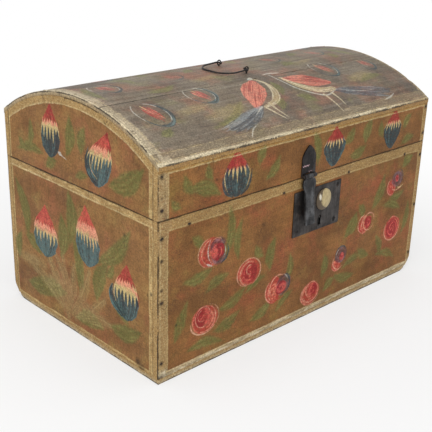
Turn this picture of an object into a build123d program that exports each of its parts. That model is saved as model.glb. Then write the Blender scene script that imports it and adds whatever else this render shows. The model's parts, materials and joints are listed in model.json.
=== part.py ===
from build123d import *
from math import acos, asin, atan2, cos, degrees, hypot, radians, sin, sqrt
import os

# A painted wooden chest with a domed lid. Millimetres, +Z up. The origin is at the centre of
# the underside, the front faces -Y and the length runs along X.

# Driving dimensions of the box
length = 450.0
depth = 278.0
body_height = 182.0
lid_side_height = 56.6
dome_rise = 42.0
parting_gap = 0.4

# Thickness of each kind of board
side_board = 8.0
end_board = 8.0
bottom_board_thickness = 6.0
lid_rail = 8.0
lid_end = 8.0
dome_board = 5.0
corner_rounding = 1.2

# Arc positions of the two seams in the dome, measured from the ridge round the outside
seam_from_ridge = 46.0

# Batten behind the front board, which the rim nails hold
batten_thickness = 8.0
batten_height = 16.0
batten_below_rim = 3.0

# Hand-made square nails: width at the head, width at the point, head, length
nail_width = 1.8
nail_point = 0.7
nail_head = 3.8
nail_head_height = 0.7
nail_head_top = 2.0
nail_length = 18.0
rim_nail_length = 14.0
tack_width = 1.2
tack_point = 0.5
tack_head = 3.0
tack_length = 6.5

# Where the nails go. The rim nails were driven by eye, so their steps are uneven.
corner_nail_count = 3
corner_nail_margin = 18.0
lid_corner_nail_count = 2
lid_corner_nail_margin = 11.0
rim_nail_margin = 40.0
rim_nail_shares = (0.0, 0.38, 0.69, 1.0)
long_edge_nail_count = 5
short_edge_nail_count = 3
bottom_nail_margin = 25.0
dome_board_nail_count = 3
dome_nail_margin = 12.0
rail_nail_count = 5
rail_nail_margin = 40.0

# Back hinges: two pairs of linked cotter eyes
hinge_span = 270.0
hinge_standoff = 6.6
hinge_slope = 45.0
hinge_eye_radius = 4.0
hinge_wire = 1.8
hinge_link_shift = 1.7
hinge_shank = 2.6
hinge_tail_length = 9.0
hinge_tail_wire = 1.4

# Lock plate on the front board
plate_width = 82.5
plate_height = 54.5
plate_thickness = 1.0
plate_centre_x = 14.2
plate_below_rim = 42.8
plate_hole_inset = 6.5
plate_hole = 1.6

# Pale domed boss in the plate's round hole
disc_diameter = 26.0
disc_edge = 0.8
disc_rise = 2.4
disc_from_plate_x = 10.3
disc_from_plate_z = 9.0

# Keyhole and key pin
key_from_plate_x = 5.8
key_from_plate_z = -12.2
keyhole_round = 5.0
keyhole_slot = 2.8
keyhole_drop = 9.6
keyhole_foot = 4.6
keyhole_foot_height = 2.4
key_pin_diameter = 2.4

# Lock case let into the front board
case_width = 44.0
case_height = 36.0
case_depth = 11.0
case_wall = 1.0
case_fit = 0.2
case_from_plate_x = -7.2
case_from_plate_z = -7.7

# Sliding bolt
bolt_thickness = 1.2
bolt_head_height = 4.0
bolt_body_height = 9.0
bolt_head_length = 8.4
bolt_body_length = 23.0
bolt_throw = 8.0
bolt_gap = 0.3
bolt_notch_width = 5.0
bolt_notch_depth = 4.0
bolt_slot_above = 2.2
stud_diameter = 2.4
stud_from_body = 7.0
stud_head = 4.8
stud_head_thickness = 0.8
stud_fit = 0.2
guide_width = 3.0
guide_wall = 1.2
guide_from_body = 0.8
spring_thickness = 0.5
spring_width = 3.0
spring_length = 16.0
spring_gap = 0.1

# Hasp: leaf nailed to the lid, strap that hangs from it on a pin, staple on the strap's back
hasp_x = -6.5
leaf_width = 24.0
leaf_thickness = 1.5
leaf_shoulder = 22.0
leaf_point = 13.4
knuckle_outer = 5.6
knuckle_gap = 0.3
knuckle_width = 20.0
strap_knuckle_width = 9.0
knuckle_off_wood = 0.4
pin_diameter = 2.4
pin_fit = 0.05
pin_head = 4.2
pin_head_thickness = 0.9
pin_above_parting = 1.6
strap_thickness = 2.2
strap_length = 58.0
strap_width = 16.0
strap_shoulder_width = 22.0
strap_shoulder_at = 13.0
strap_neck_at = 21.0
strap_off_plate = 0.4
strap_lip = 6.0
strap_lip_curl = 14.0
staple_drop = 46.0
staple_width = 2.0
staple_wall = 1.3
staple_end = 1.0
staple_room = 0.7
staple_off_bolt = 0.25
staple_off_plate = 0.35
slot_room = 1.2

# Wire handle on the ridge
handle_x = 2.0
handle_y = -5.0
handle_spacing = 47.0
handle_reach = 35.0
handle_wire = 2.0
handle_arm_outside = 3.0
handle_corner = 2.6
handle_bow = 20.0
handle_tip = 3.4
handle_off_dome = 0.3
handle_eye_radius = 2.7
handle_eye_wire = 1.6
handle_shank = 2.2
handle_tail_length = 7.0
handle_tail_wire = 1.2

# Heights and radii that follow from the driving dimensions
lid_bottom = body_height + parting_gap
spring_line = lid_bottom + lid_side_height
ridge = spring_line + dome_rise
dome_outer = (depth ** 2 / 4 + dome_rise ** 2) / (2 * dome_rise)
dome_inner = dome_outer - dome_board
dome_centre = ridge - dome_outer
front = -depth / 2
back = depth / 2
front_inside = front + side_board
back_inside = back - side_board
plate_front = front - plate_thickness
plate_back = front
plate_centre_z = body_height - plate_below_rim


def arc_z(radius, y):
    """Height of a circle about the dome's centre line at a distance y from the middle."""
    return dome_centre + sqrt(radius ** 2 - y ** 2)


def arc_point(radius, angle):
    """Point (y, z) on a circle about the dome's centre line, its angle from the ridge."""
    return radius * sin(angle), dome_centre + radius * cos(angle)


def block(x, y, z):
    """Board between two x, two y and two z values."""
    return Pos(sum(x) / 2, sum(y) / 2, sum(z) / 2) * Box(x[1] - x[0], y[1] - y[0], z[1] - z[0])


def extrude_along_x(outline, x):
    """Closed outline of lines in the YZ plane, made solid between two x values."""
    face = Plane.YZ * make_face(outline)
    return Pos(x[0], 0, 0) * extrude(face, amount=x[1] - x[0])


def spaced(count, span):
    """Evenly spaced positions about zero, the first and last a span apart."""
    return [span * (i / (count - 1) - 0.5) for i in range(count)]


def save(solids, name):
    """Write one piece, or a group of separate like pieces, as one named file."""
    shape = Compound(children=list(solids)) if isinstance(solids, (list, tuple)) else solids
    shape.label = name
    export_step(shape, f"parts/{name}.step")


# Nails


def nail(at, into, width=nail_width, point=nail_point, head=nail_head, shank=nail_length, sunk=0.0):
    """Square tapered nail with a low four-sided head, driven from a surface point."""
    taper = degrees(atan2((width - point) / 2, shank))
    head_taper = degrees(atan2((head - nail_head_top) / 2, nail_head_height))
    leg = extrude(Rectangle(width, width), amount=shank, taper=taper)
    cap = extrude(Rectangle(head, head), amount=-nail_head_height, taper=head_taper)
    place = Plane(origin=at, z_dir=into)
    return place * Pos(0, 0, sunk) * (leg + cap)


def corner_nails():
    """Nails through the front and back boards into the ends of the body."""
    x = length / 2 - end_board / 2
    low = bottom_board_thickness + corner_nail_margin
    high = body_height - corner_nail_margin
    nails = []
    for side in (-1, 1):
        for z in spaced(corner_nail_count, high - low):
            middle = (low + high) / 2
            nails.append(nail((side * x, front, middle + z), (0, 1, 0)))
            nails.append(nail((side * x, back, middle + z), (0, -1, 0)))
    return nails


def bottom_nails():
    """Nails through the bottom board into the four side boards, heads set flush."""
    up = (0, 0, 1)
    nails = []
    for x in spaced(long_edge_nail_count, length - 2 * bottom_nail_margin):
        for y in (front + side_board / 2, back - side_board / 2):
            nails.append(nail((x, y, 0), up, sunk=nail_head_height))
    for y in spaced(short_edge_nail_count, depth - 2 * side_board - 2 * bottom_nail_margin):
        for x in (-length / 2 + end_board / 2, length / 2 - end_board / 2):
            nails.append(nail((x, y, 0), up, sunk=nail_head_height))
    return nails


def rim_nails():
    """Nails through the front board into the batten behind its rim."""
    z = body_height - batten_below_rim - batten_height / 2
    first = rim_nail_margin - length / 2
    span = length - 2 * rim_nail_margin
    return [nail((first + share * span, front, z), (0, 1, 0), shank=rim_nail_length)
            for share in rim_nail_shares]


def lid_corner_nails():
    """Nails through the lid's front and back rails into its arched ends."""
    x = length / 2 - lid_end / 2
    low = lid_bottom + lid_corner_nail_margin
    high = spring_line - lid_corner_nail_margin
    nails = []
    for side in (-1, 1):
        for z in spaced(lid_corner_nail_count, high - low):
            middle = (low + high) / 2
            nails.append(nail((side * x, front, middle + z), (0, 1, 0)))
            nails.append(nail((side * x, back, middle + z), (0, -1, 0)))
    return nails


def dome_angles():
    """Angles from the ridge of the dome boards' edges, from the front to the back."""
    edge = asin(depth / 2 / dome_outer)
    seam = seam_from_ridge / dome_outer
    return [-edge, -seam, seam, edge]


def dome_nails():
    """Nails through the dome boards into the arched ends and down into the two rails."""
    x = length / 2 - lid_end / 2
    edge_angle = dome_nail_margin / dome_outer
    angles = dome_angles()
    nails = []
    for first, last in zip(angles, angles[1:]):
        low = first + edge_angle
        high = last - edge_angle
        for i in range(dome_board_nail_count):
            angle = low + (high - low) * i / (dome_board_nail_count - 1)
            y, z = arc_point(dome_outer, angle)
            for side in (-1, 1):
                nails.append(nail((side * x, y, z), (0, -sin(angle), -cos(angle))))
    rail_y = depth / 2 - lid_rail / 2
    for x in spaced(rail_nail_count, length - 2 * rail_nail_margin):
        for y in (-rail_y, rail_y):
            nails.append(nail((x, y, arc_z(dome_outer, y)), (0, 0, -1)))
    return nails


# Cotter eyes: a ring of wire on a closed pair of legs, whose ends are bent over inside


def cotter(eye, into, across, ring, wire, shank, reach, tail, tail_wire, tails_across=True):
    """Cotter with its ring about a point. The ring lies in the plane of into and across."""
    place = Plane(origin=eye, x_dir=across, z_dir=into)
    loop = Rot(90, 0, 0) * Torus(ring, wire / 2)
    legs = Pos(0, 0, (ring + reach) / 2) * Cylinder(shank / 2, reach - ring)
    turn = Rot(0, 90, 0) if tails_across else Rot(90, 0, 0)
    tails = Pos(0, 0, reach) * turn * Cylinder(tail_wire / 2, 2 * tail)
    return place * (loop + legs + tails)


def hinge_axis():
    """Point (y, z) on the lid's hinge axis, behind the parting."""
    return back + hinge_standoff, body_height + parting_gap / 2


def hinge_legs():
    """Distance along the slope from the hinge axis to just inside the back boards."""
    slope = radians(hinge_slope)
    return (hinge_standoff + side_board + hinge_tail_wire / 2) / cos(slope)


def box_hinge_eye(x):
    """Eye of one hinge on the body, its legs sloping down through the back board."""
    slope = radians(hinge_slope)
    into = (0, -cos(slope), -sin(slope))
    y, z = hinge_axis()
    eye = (x, y + into[1] * hinge_eye_radius, z + into[2] * hinge_eye_radius)
    return cotter(eye, into, (1, 0, 0), hinge_eye_radius, hinge_wire, hinge_shank,
                  hinge_legs() - hinge_eye_radius, hinge_tail_length, hinge_tail_wire)


def lid_hinge_eye(x):
    """Eye of one hinge on the lid, linked through the body's eye, its legs sloping up."""
    slope = radians(hinge_slope)
    into = (0, -cos(slope), sin(slope))
    y, z = hinge_axis()
    eye = (x, y + into[1] * hinge_link_shift, z + into[2] * hinge_link_shift)
    return cotter(eye, into, (0, sin(slope), cos(slope)), hinge_eye_radius, hinge_wire,
                  hinge_shank, hinge_legs() - hinge_link_shift, hinge_tail_length,
                  hinge_tail_wire, tails_across=False)


def handle_axis_z():
    """Height of the handle's pivot, where its eyes just stand on the ridge."""
    return ridge + handle_eye_radius + handle_eye_wire / 2


def handle_eye(y):
    """Eye for one end of the handle, its legs down through the dome's top board."""
    inside = arc_z(dome_inner, abs(y) + handle_tail_wire / 2) - handle_tail_wire / 2
    return cotter((handle_x, y, handle_axis_z()), (0, 0, -1), (1, 0, 0), handle_eye_radius,
                  handle_eye_wire, handle_shank, handle_axis_z() - inside,
                  handle_tail_length, handle_tail_wire)


# Boards of the body


def bottom_board():
    return block((-length / 2, length / 2), (front, back), (0, bottom_board_thickness))


def long_board(y):
    """Front or back board, its two outer upright corners slightly rounded."""
    board = block((-length / 2, length / 2), y, (bottom_board_thickness, body_height))
    outside = max(y, key=abs)
    corners = [e for e in board.edges().filter_by(Axis.Z) if abs(e.center().Y - outside) < 0.01]
    return fillet(corners, min(corner_rounding, side_board / 2))


def end_of_body(side):
    x = sorted((side * length / 2, side * (length / 2 - end_board)))
    return block(x, (front_inside, back_inside), (bottom_board_thickness, body_height))


def rim_batten():
    top = body_height - batten_below_rim
    x = length / 2 - end_board
    return block((-x, x), (front_inside, front_inside + batten_thickness),
                 (top - batten_height, top))


# Boards of the lid


def lid_rail_board(side):
    """Front or back rail, its top edge following the underside of the dome."""
    outside = side * depth / 2
    inside = side * (depth / 2 - lid_rail)
    middle = (outside + inside) / 2
    top_out = (outside, arc_z(dome_inner, outside))
    top_in = (inside, arc_z(dome_inner, inside))
    outline = [
        Line((outside, lid_bottom), (inside, lid_bottom)),
        Line((inside, lid_bottom), top_in),
        ThreePointArc(top_in, (middle, arc_z(dome_inner, middle)), top_out),
        Line(top_out, (outside, lid_bottom)),
    ]
    rail = extrude_along_x(outline, (-length / 2, length / 2))
    corners = [e for e in rail.edges().filter_by(Axis.Z)
               if abs(e.center().Y - outside) < 0.01 and abs(abs(e.center().X) - length / 2) < 0.01]
    return fillet(corners, min(corner_rounding, lid_rail / 2))


def lid_end_board(side):
    """End of the lid between the rails, its arched top under the dome boards."""
    half = depth / 2 - lid_rail
    shoulder = arc_z(dome_inner, half)
    outline = [
        Line((-half, lid_bottom), (half, lid_bottom)),
        Line((half, lid_bottom), (half, shoulder)),
        ThreePointArc((half, shoulder), (0, dome_centre + dome_inner), (-half, shoulder)),
        Line((-half, shoulder), (-half, lid_bottom)),
    ]
    return extrude_along_x(outline, sorted((side * length / 2, side * (length / 2 - lid_end))))


def dome_edge(index):
    """Outer and inner points (y, z) of one edge of a dome board."""
    angle = dome_angles()[index]
    if index in (0, 3):
        y = depth / 2 * (-1 if index == 0 else 1)
        return (y, arc_z(dome_outer, y)), (y, arc_z(dome_inner, y))
    return arc_point(dome_outer, angle), arc_point(dome_inner, angle)


def dome_strip(index):
    """One of the three thin boards bent over the arched ends."""
    (outer_a, inner_a), (outer_b, inner_b) = dome_edge(index), dome_edge(index + 1)
    middle = sum(dome_angles()[index:index + 2]) / 2
    outline = [
        ThreePointArc(outer_a, arc_point(dome_outer, middle), outer_b),
        Line(outer_b, inner_b),
        ThreePointArc(inner_b, arc_point(dome_inner, middle), inner_a),
        Line(inner_a, outer_a),
    ]
    return extrude_along_x(outline, (-length / 2, length / 2))


# Lock


def on_front(x, z, y=front):
    """Plane that looks into the front board, its own X along the board and its Y up."""
    return Plane(origin=(x, y, z), x_dir=(1, 0, 0), z_dir=(0, -1, 0))


key_x = plate_centre_x + key_from_plate_x
key_z = plate_centre_z + key_from_plate_z
disc_x = plate_centre_x + disc_from_plate_x
disc_z = plate_centre_z + disc_from_plate_z
case_x = plate_centre_x + case_from_plate_x
case_z = plate_centre_z + case_from_plate_z
pin_z = lid_bottom + pin_above_parting
pin_y = front - knuckle_off_wood - knuckle_outer / 2
staple_z = pin_z - staple_drop
staple_inside_height = bolt_head_height + 2 * staple_room
staple_height = staple_inside_height + 2 * staple_wall
bolt_front = plate_back + bolt_gap
bolt_back = bolt_front + bolt_thickness
bolt_tip = hasp_x + staple_width / 2 + staple_room
bolt_shoulder = bolt_tip + bolt_head_length
bolt_end = bolt_shoulder + bolt_body_length
stud_x = bolt_shoulder + stud_from_body
stud_z = staple_z + bolt_slot_above


def plate_nail_places(count=4):
    """Hole centres near the plate's corners. The last, at the lower right, has lost its nail."""
    x = plate_width / 2 - plate_hole_inset
    z = plate_height / 2 - plate_hole_inset
    corners = [(-x, z), (x, z), (-x, -z), (x, -z)]
    return [(plate_centre_x + dx, plate_centre_z + dz) for dx, dz in corners[:count]]


def lock_plate():
    """Iron plate with its nail holes, round hole, keyhole and the slot for the staple."""
    plate = on_front(plate_centre_x, plate_centre_z) * extrude(
        Rectangle(plate_width, plate_height), amount=plate_thickness)
    through = 4 * plate_thickness
    for x, z in plate_nail_places():
        plate -= on_front(x, z) * Box(plate_hole, plate_hole, through)
    plate -= on_front(disc_x, disc_z) * Cylinder(disc_diameter / 2, through)
    plate -= on_front(key_x, key_z) * Cylinder(keyhole_round / 2, through)
    plate -= on_front(key_x, key_z - keyhole_drop / 2) * Box(keyhole_slot, keyhole_drop, through)
    foot_z = key_z - keyhole_drop + keyhole_foot_height / 2
    plate -= on_front(key_x, foot_z) * Box(keyhole_foot, keyhole_foot_height, through)
    slot_height = staple_height + 2 * slot_room
    slot_width = staple_width + 2 * slot_room / 2
    plate -= on_front(hasp_x, staple_z) * Box(slot_width, slot_height, through)
    return plate


def plate_disc():
    """Pale boss that fills the round hole, its face a low dome."""
    radius = disc_diameter / 2
    height = plate_thickness + disc_edge + disc_rise
    ball = (radius ** 2 + disc_rise ** 2) / (2 * disc_rise)
    disc = Pos(0, 0, height / 2) * Cylinder(radius, height)
    return on_front(disc_x, disc_z) * (disc & Pos(0, 0, height - ball) * Sphere(ball))


def plate_tacks():
    """Tacks in three of the plate's four holes."""
    return [nail((x, plate_front, z), (0, 1, 0), tack_width, tack_point, tack_head, tack_length)
            for x, z in plate_nail_places(3)]


def case_block(grow=0.0):
    """Outside of the lock case, grown all round for the mortise that takes it."""
    x = case_width / 2 + grow
    z = case_height / 2 + grow
    return block((case_x - x, case_x + x), (front, front + case_depth + grow),
                 (case_z - z, case_z + z))


def lock_case():
    """Sheet iron tray behind the plate, open to the front."""
    x = case_width / 2 - case_wall
    z = case_height / 2 - case_wall
    hollow = block((case_x - x, case_x + x), (front - case_wall, front + case_depth - case_wall),
                   (case_z - z, case_z + z))
    return case_block() - hollow


def lock_bolt():
    """Flat bolt, drawn back: head, body, key notch below and the slot that rides on the stud."""
    y = (bolt_front, bolt_back)
    head = block((bolt_tip, bolt_shoulder), y,
                 (staple_z - bolt_head_height / 2, staple_z + bolt_head_height / 2))
    low = staple_z - bolt_body_height / 2
    body = block((bolt_shoulder, bolt_end), y, (low, low + bolt_body_height))
    notch = block((key_x - bolt_notch_width / 2, key_x + bolt_notch_width / 2), y,
                  (low, low + bolt_notch_depth))
    half = stud_diameter / 2 + stud_fit
    slot = block((stud_x, stud_x + bolt_throw), y, (stud_z - half, stud_z + half))
    for x in (stud_x, stud_x + bolt_throw):
        slot += Pos(x, (bolt_front + bolt_back) / 2, stud_z) * Rot(90, 0, 0) * Cylinder(
            half, bolt_thickness)
    return head + body - notch - slot


def bolt_guide():
    """Bridge riveted behind the plate, which the bolt slides under."""
    x = bolt_shoulder + guide_from_body
    half = bolt_body_height / 2 + bolt_gap
    inner = block((x, x + guide_width), (plate_back, bolt_back + bolt_gap),
                  (staple_z - half, staple_z + half))
    outer = block((x, x + guide_width), (plate_back, bolt_back + bolt_gap + guide_wall),
                  (staple_z - half - guide_wall, staple_z + half + guide_wall))
    return outer - inner


def bolt_stud():
    """Headed stud on the plate's back, which holds the bolt's tail and limits its travel."""
    reach = bolt_back + bolt_gap - plate_back
    shank = Pos(0, 0, -reach / 2) * Cylinder(stud_diameter / 2, reach)
    head = Pos(0, 0, -reach - stud_head_thickness / 2) * Cylinder(
        stud_head / 2, stud_head_thickness)
    return on_front(stud_x, stud_z) * (shank + head)


def bolt_spring():
    """Bowed leaf between the case's top wall and the bolt, which keeps the bolt from sliding."""
    roof = case_z + case_height / 2 - case_wall
    low = staple_z + bolt_body_height / 2 + spring_gap
    start = bolt_shoulder + guide_from_body + guide_width + spring_gap
    middle = start + spring_length / 2
    end = start + spring_length
    outer = ThreePointArc((start, roof), (middle, low), (end, roof))
    inner = ThreePointArc((end - spring_thickness, roof), (middle, low + spring_thickness),
                          (start + spring_thickness, roof))
    outline = [outer, Line(outer @ 1, inner @ 0), inner, Line(inner @ 1, outer @ 0)]
    face = on_front(0, 0, bolt_front + spring_width) * make_face(outline)
    return extrude(face, amount=spring_width)


def key_pin():
    """Post that the hollow key turns on, from the case's back to the keyhole."""
    reach = case_depth - case_wall + plate_thickness / 2
    return on_front(key_x, key_z, front + case_depth - case_wall) * Pos(0, 0, reach / 2) * (
        Cylinder(key_pin_diameter / 2, reach))


# Hasp


def barrel(x, diameter):
    """Round bar along the hasp's pin, between two x values."""
    return Pos(sum(x) / 2, pin_y, pin_z) * Rot(0, 90, 0) * Cylinder(diameter / 2, x[1] - x[0])


def leaf_outline():
    """Half outlines of the pointed leaf, from its foot to its tip."""
    half = leaf_width / 2
    bow = (half * 0.72, leaf_shoulder + leaf_point * 0.46)
    right = ThreePointArc((half, leaf_shoulder), bow, (0, leaf_shoulder + leaf_point))
    left = ThreePointArc((0, leaf_shoulder + leaf_point), (-bow[0], bow[1]), (-half, leaf_shoulder))
    return [Line((-half, 0), (half, 0)), Line((half, 0), (half, leaf_shoulder)), right, left,
            Line((-half, leaf_shoulder), (-half, 0))]


def leaf_tack_places():
    """One tack under the leaf's point and a pair across its foot."""
    side = leaf_width * 0.28
    return [(hasp_x, pin_z + leaf_shoulder + leaf_point * 0.2),
            (hasp_x - side, pin_z + leaf_shoulder * 0.4),
            (hasp_x + side, pin_z + leaf_shoulder * 0.4)]


def leaf_tacks():
    return [nail((x, front - leaf_thickness, z), (0, 1, 0), tack_width, tack_point, tack_head,
                 tack_length) for x, z in leaf_tack_places()]


def hasp_leaf():
    """Pointed leaf on the lid, its foot rolled into two knuckles round the pin."""
    leaf = on_front(hasp_x, pin_z) * extrude(make_face(leaf_outline()), amount=leaf_thickness)
    inner = strap_knuckle_width / 2 + knuckle_gap
    outer = knuckle_width / 2
    for side in (-1, 1):
        x = sorted((hasp_x + side * inner, hasp_x + side * outer))
        leaf += barrel(x, knuckle_outer)
    relief = knuckle_outer / 2 + knuckle_gap
    leaf -= block((hasp_x - inner, hasp_x + inner), (front - knuckle_outer, front),
                  (pin_z - relief, pin_z + relief))
    leaf -= barrel((hasp_x - outer, hasp_x + outer), pin_diameter)
    for side in (-1, 1):
        x = sorted((hasp_x + side * outer, hasp_x + side * leaf_width))
        leaf -= barrel(x, pin_head + 2 * knuckle_gap)
    for tack in leaf_tacks():
        leaf -= tack
    return leaf


def hasp_pin():
    """Pin through the knuckles, with a small head at each side."""
    half = knuckle_width / 2
    pin = barrel((hasp_x - half, hasp_x + half), pin_diameter)
    for side in (-1, 1):
        x = sorted((hasp_x + side * half, hasp_x + side * (half + pin_head_thickness)))
        pin += barrel(x, pin_head)
    return pin


strap_back = plate_front - strap_off_plate
strap_face = strap_back - strap_thickness
staple_tip = bolt_back + staple_off_bolt + staple_end


def hasp_rest_tilt():
    """Angle that swings the hasp out until the staple's tip is just clear of the plate."""
    tip_y = staple_tip - pin_y
    tip_z = staple_drop - staple_height / 2
    clear_y = plate_front - staple_off_plate - pin_y
    return degrees(acos(clear_y / hypot(tip_y, tip_z)) - atan2(tip_z, tip_y))


def strap_outline():
    """Outline of the strap below its knuckle: shoulder, neck and rounded end."""
    knuckle = strap_knuckle_width / 2
    shoulder = strap_shoulder_width / 2
    half = strap_width / 2
    top = -knuckle_outer / 2 - knuckle_gap
    sides = []
    for side in (-1, 1):
        sides.append(Spline((side * half, -strap_neck_at), (side * shoulder, -strap_shoulder_at),
                            (side * (knuckle + shoulder) / 2, top),
                            tangents=[(0, 1), (-side, 0.4)]))
    left, right = sides
    end = -strap_length
    foot = [
        Line((half, -strap_neck_at), (half, end + half)),
        ThreePointArc((half, end + half), (0, end), (-half, end + half)),
        Line((-half, end + half), (-half, -strap_neck_at)),
    ]
    return [right, Line(right @ 1, left @ 1), left] + foot


def strap_profile():
    """Side view of the strap: straight down the plate, its end curled outwards as a lip."""
    bend_z = pin_z - strap_length + strap_lip
    curl = radians(strap_lip_curl)
    out_y = strap_back - strap_lip * sin(curl)
    out_z = bend_z - strap_lip * cos(curl)
    step_y = strap_thickness * cos(curl)
    step_z = strap_thickness * sin(curl)
    corners = [(strap_back, pin_z), (strap_back, bend_z), (out_y, out_z),
               (out_y - step_y, out_z + step_z), (strap_face, bend_z + step_z),
               (strap_face, pin_z)]
    return [Line(a, b) for a, b in zip(corners, corners[1:] + corners[:1])]


def staple_tenons(room=0.0):
    """Ends of the staple's two legs, riveted through the strap."""
    half = staple_width / 2
    inside = staple_inside_height / 2
    tenons = []
    for side in (-1, 1):
        z = sorted((staple_z + side * inside, staple_z + side * (inside + staple_wall)))
        tenons.append(block((hasp_x - half, hasp_x + half), (strap_face, strap_back + room), z))
    return tenons


def hasp_strap():
    """Strap as it hangs closed against the plate, before it is swung out to rest."""
    face = on_front(hasp_x, pin_z, front) * make_face(strap_outline())
    front_view = extrude(face, amount=strap_length)
    half = strap_shoulder_width
    side_view = extrude_along_x(strap_profile(), (hasp_x - half, hasp_x + half))
    strap = front_view & side_view
    knuckle = (hasp_x - strap_knuckle_width / 2, hasp_x + strap_knuckle_width / 2)
    web = block(knuckle, (strap_face, strap_back), (pin_z - strap_shoulder_at, pin_z))
    strap = strap + web + barrel(knuckle, knuckle_outer)
    strap -= barrel(knuckle, pin_diameter + 2 * pin_fit)
    for tenon in staple_tenons():
        strap -= tenon
    return strap


def hasp_staple():
    """Staple on the strap's back, which passes through the plate for the bolt to enter."""
    half = staple_width / 2
    x = (hasp_x - half, hasp_x + half)
    outer = block(x, (strap_back, staple_tip),
                  (staple_z - staple_height / 2, staple_z + staple_height / 2))
    tip_edges = outer.edges().filter_by(Axis.X).group_by(Axis.Y)[-1]
    outer = fillet(tip_edges, min(staple_wall, staple_end) * 0.9)
    inside = staple_inside_height / 2
    loop = outer - block(x, (strap_back, staple_tip - staple_end),
                         (staple_z - inside, staple_z + inside))
    for tenon in staple_tenons():
        loop += tenon
    return loop


def swung_out(shape):
    """Turn a piece of the hasp about its pin, from closed to the way it hangs at rest."""
    return shape.rotate(Axis((0, pin_y, pin_z), (-1, 0, 0)), hasp_rest_tilt())


# Handle


def handle_bail():
    """Wire bail, laid over to the left so that its bow just clears the dome."""
    half = handle_spacing / 2
    arm = half + handle_arm_outside
    end = half - handle_arm_outside
    corners = [(0, -end), (0, -arm), (-handle_reach, -arm), (-handle_reach, arm), (0, arm),
               (0, end)]
    bow = min(handle_bow, 0.45 * handle_reach + handle_corner)
    path = FilletPolyline(*corners, radius=[handle_corner, bow, bow, handle_corner])
    section = Plane(origin=path @ 0, z_dir=path % 0) * Circle(handle_wire / 2)
    bail = sweep(section, path=path)
    for y in (-end, end):
        bail += Pos(0, y, 0) * Sphere(handle_tip / 2)
    drop = handle_axis_z() - ridge - handle_off_dome - handle_wire / 2
    tilt = degrees(asin(drop / handle_reach))
    return Pos(handle_x, handle_y, handle_axis_z()) * Rot(0, -tilt, 0) * bail


def without(board, cutters):
    """Board with holes where nails, pins or legs pass through it."""
    for cutter in cutters:
        board = board - cutter
    return board


def main():
    os.makedirs("parts", exist_ok=True)
    hinge_x = (-hinge_span / 2, hinge_span / 2)
    eye_y = (handle_y - handle_spacing / 2, handle_y + handle_spacing / 2)

    corner, under, rim, tacks = corner_nails(), bottom_nails(), rim_nails(), plate_tacks()
    front_nails = [n for n in corner + under if n.center().Y < front_inside]
    back_nails = [n for n in corner + under if n.center().Y > back_inside]
    box_eyes = [box_hinge_eye(x) for x in hinge_x]
    save(without(bottom_board(), under), "bottom_board")
    front_board = without(long_board((front, front_inside)), front_nails + rim + tacks)
    save(front_board - case_block(case_fit), "front_board")
    save(without(long_board((back_inside, back)), back_nails + box_eyes), "back_board")
    save(without(end_of_body(-1), [n for n in corner + under if n.center().X < 0]),
         "left_end_board")
    save(without(end_of_body(1), [n for n in corner + under if n.center().X > 0]),
         "right_end_board")
    save(without(rim_batten(), rim), "front_rim_batten")
    save(corner, "corner_nails")
    save(under, "bottom_nails")
    save(rim, "rim_nails")
    save(box_eyes[0], "left_box_hinge_eye")
    save(box_eyes[1], "right_box_hinge_eye")

    save(without(lock_plate(), tacks), "lock_plate")
    save(plate_disc(), "lock_plate_disc")
    save(tacks, "lock_plate_tacks")
    save(lock_case(), "lock_case")
    save(bolt_guide(), "bolt_guide")
    save(bolt_stud(), "bolt_stud")
    save(bolt_spring(), "bolt_spring")
    save(key_pin(), "key_pin")
    save(lock_bolt(), "lock_bolt")

    lid_corner, over, leaf_nails = lid_corner_nails(), dome_nails(), leaf_tacks()
    lid_eyes = [lid_hinge_eye(x) for x in hinge_x]
    handle_eyes = [handle_eye(y) for y in eye_y]
    inside_front = front + lid_rail
    front_nails = [n for n in lid_corner + over if n.center().Y < inside_front]
    back_nails = [n for n in lid_corner + over if n.center().Y > -inside_front]
    save(without(lid_rail_board(-1), front_nails + leaf_nails), "lid_front_rail")
    save(without(lid_rail_board(1), back_nails + lid_eyes), "lid_back_rail")
    for side, name in ((-1, "lid_left_end"), (1, "lid_right_end")):
        near = [n for n in lid_corner + over if side * n.center().X > length / 2 - 2 * lid_end]
        save(without(lid_end_board(side), near), name)
    for index, name in enumerate(("dome_front_board", "dome_top_board", "dome_back_board")):
        cutters = over + (handle_eyes if index == 1 else [])
        save(without(dome_strip(index), cutters), name)
    save(lid_corner, "lid_corner_nails")
    save(over, "dome_nails")
    save(lid_eyes[0], "left_lid_hinge_eye")
    save(lid_eyes[1], "right_lid_hinge_eye")
    save(handle_eyes[0], "front_handle_eye")
    save(handle_eyes[1], "back_handle_eye")
    save(hasp_leaf(), "hasp_leaf")
    save(leaf_nails, "hasp_leaf_tacks")
    save(hasp_pin(), "hasp_pin")

    save(swung_out(hasp_strap()), "hasp_strap")
    save(swung_out(hasp_staple()), "hasp_staple")
    save(handle_bail(), "handle_bail")
    print("hasp rest tilt", round(hasp_rest_tilt(), 3), "hinge axis", hinge_axis())
    print("handle axis z", handle_axis_z(), "pin", pin_y, pin_z, "staple z", staple_z)


main()
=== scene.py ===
# %% [markdown]
# # A painted wooden chest
# The real thing is a small domed box of thin nailed boards, about 450 mm long. It was painted
# with a brown glaze, cream bands along every edge, tulips on the ends and the lid, roses on
# the front, and buds and a pair of birds on the dome. The CAD model is already packed, with
# its joints. This lesson dresses it: each board gets a dense, slightly worn surface that
# carries the painting, the ironwork gets its finish, and the nails are forged by one small
# Geometry Nodes tree.

import json
import math

import bmesh
import bpy
import numpy as np
from mathutils import Matrix, Vector


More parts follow.
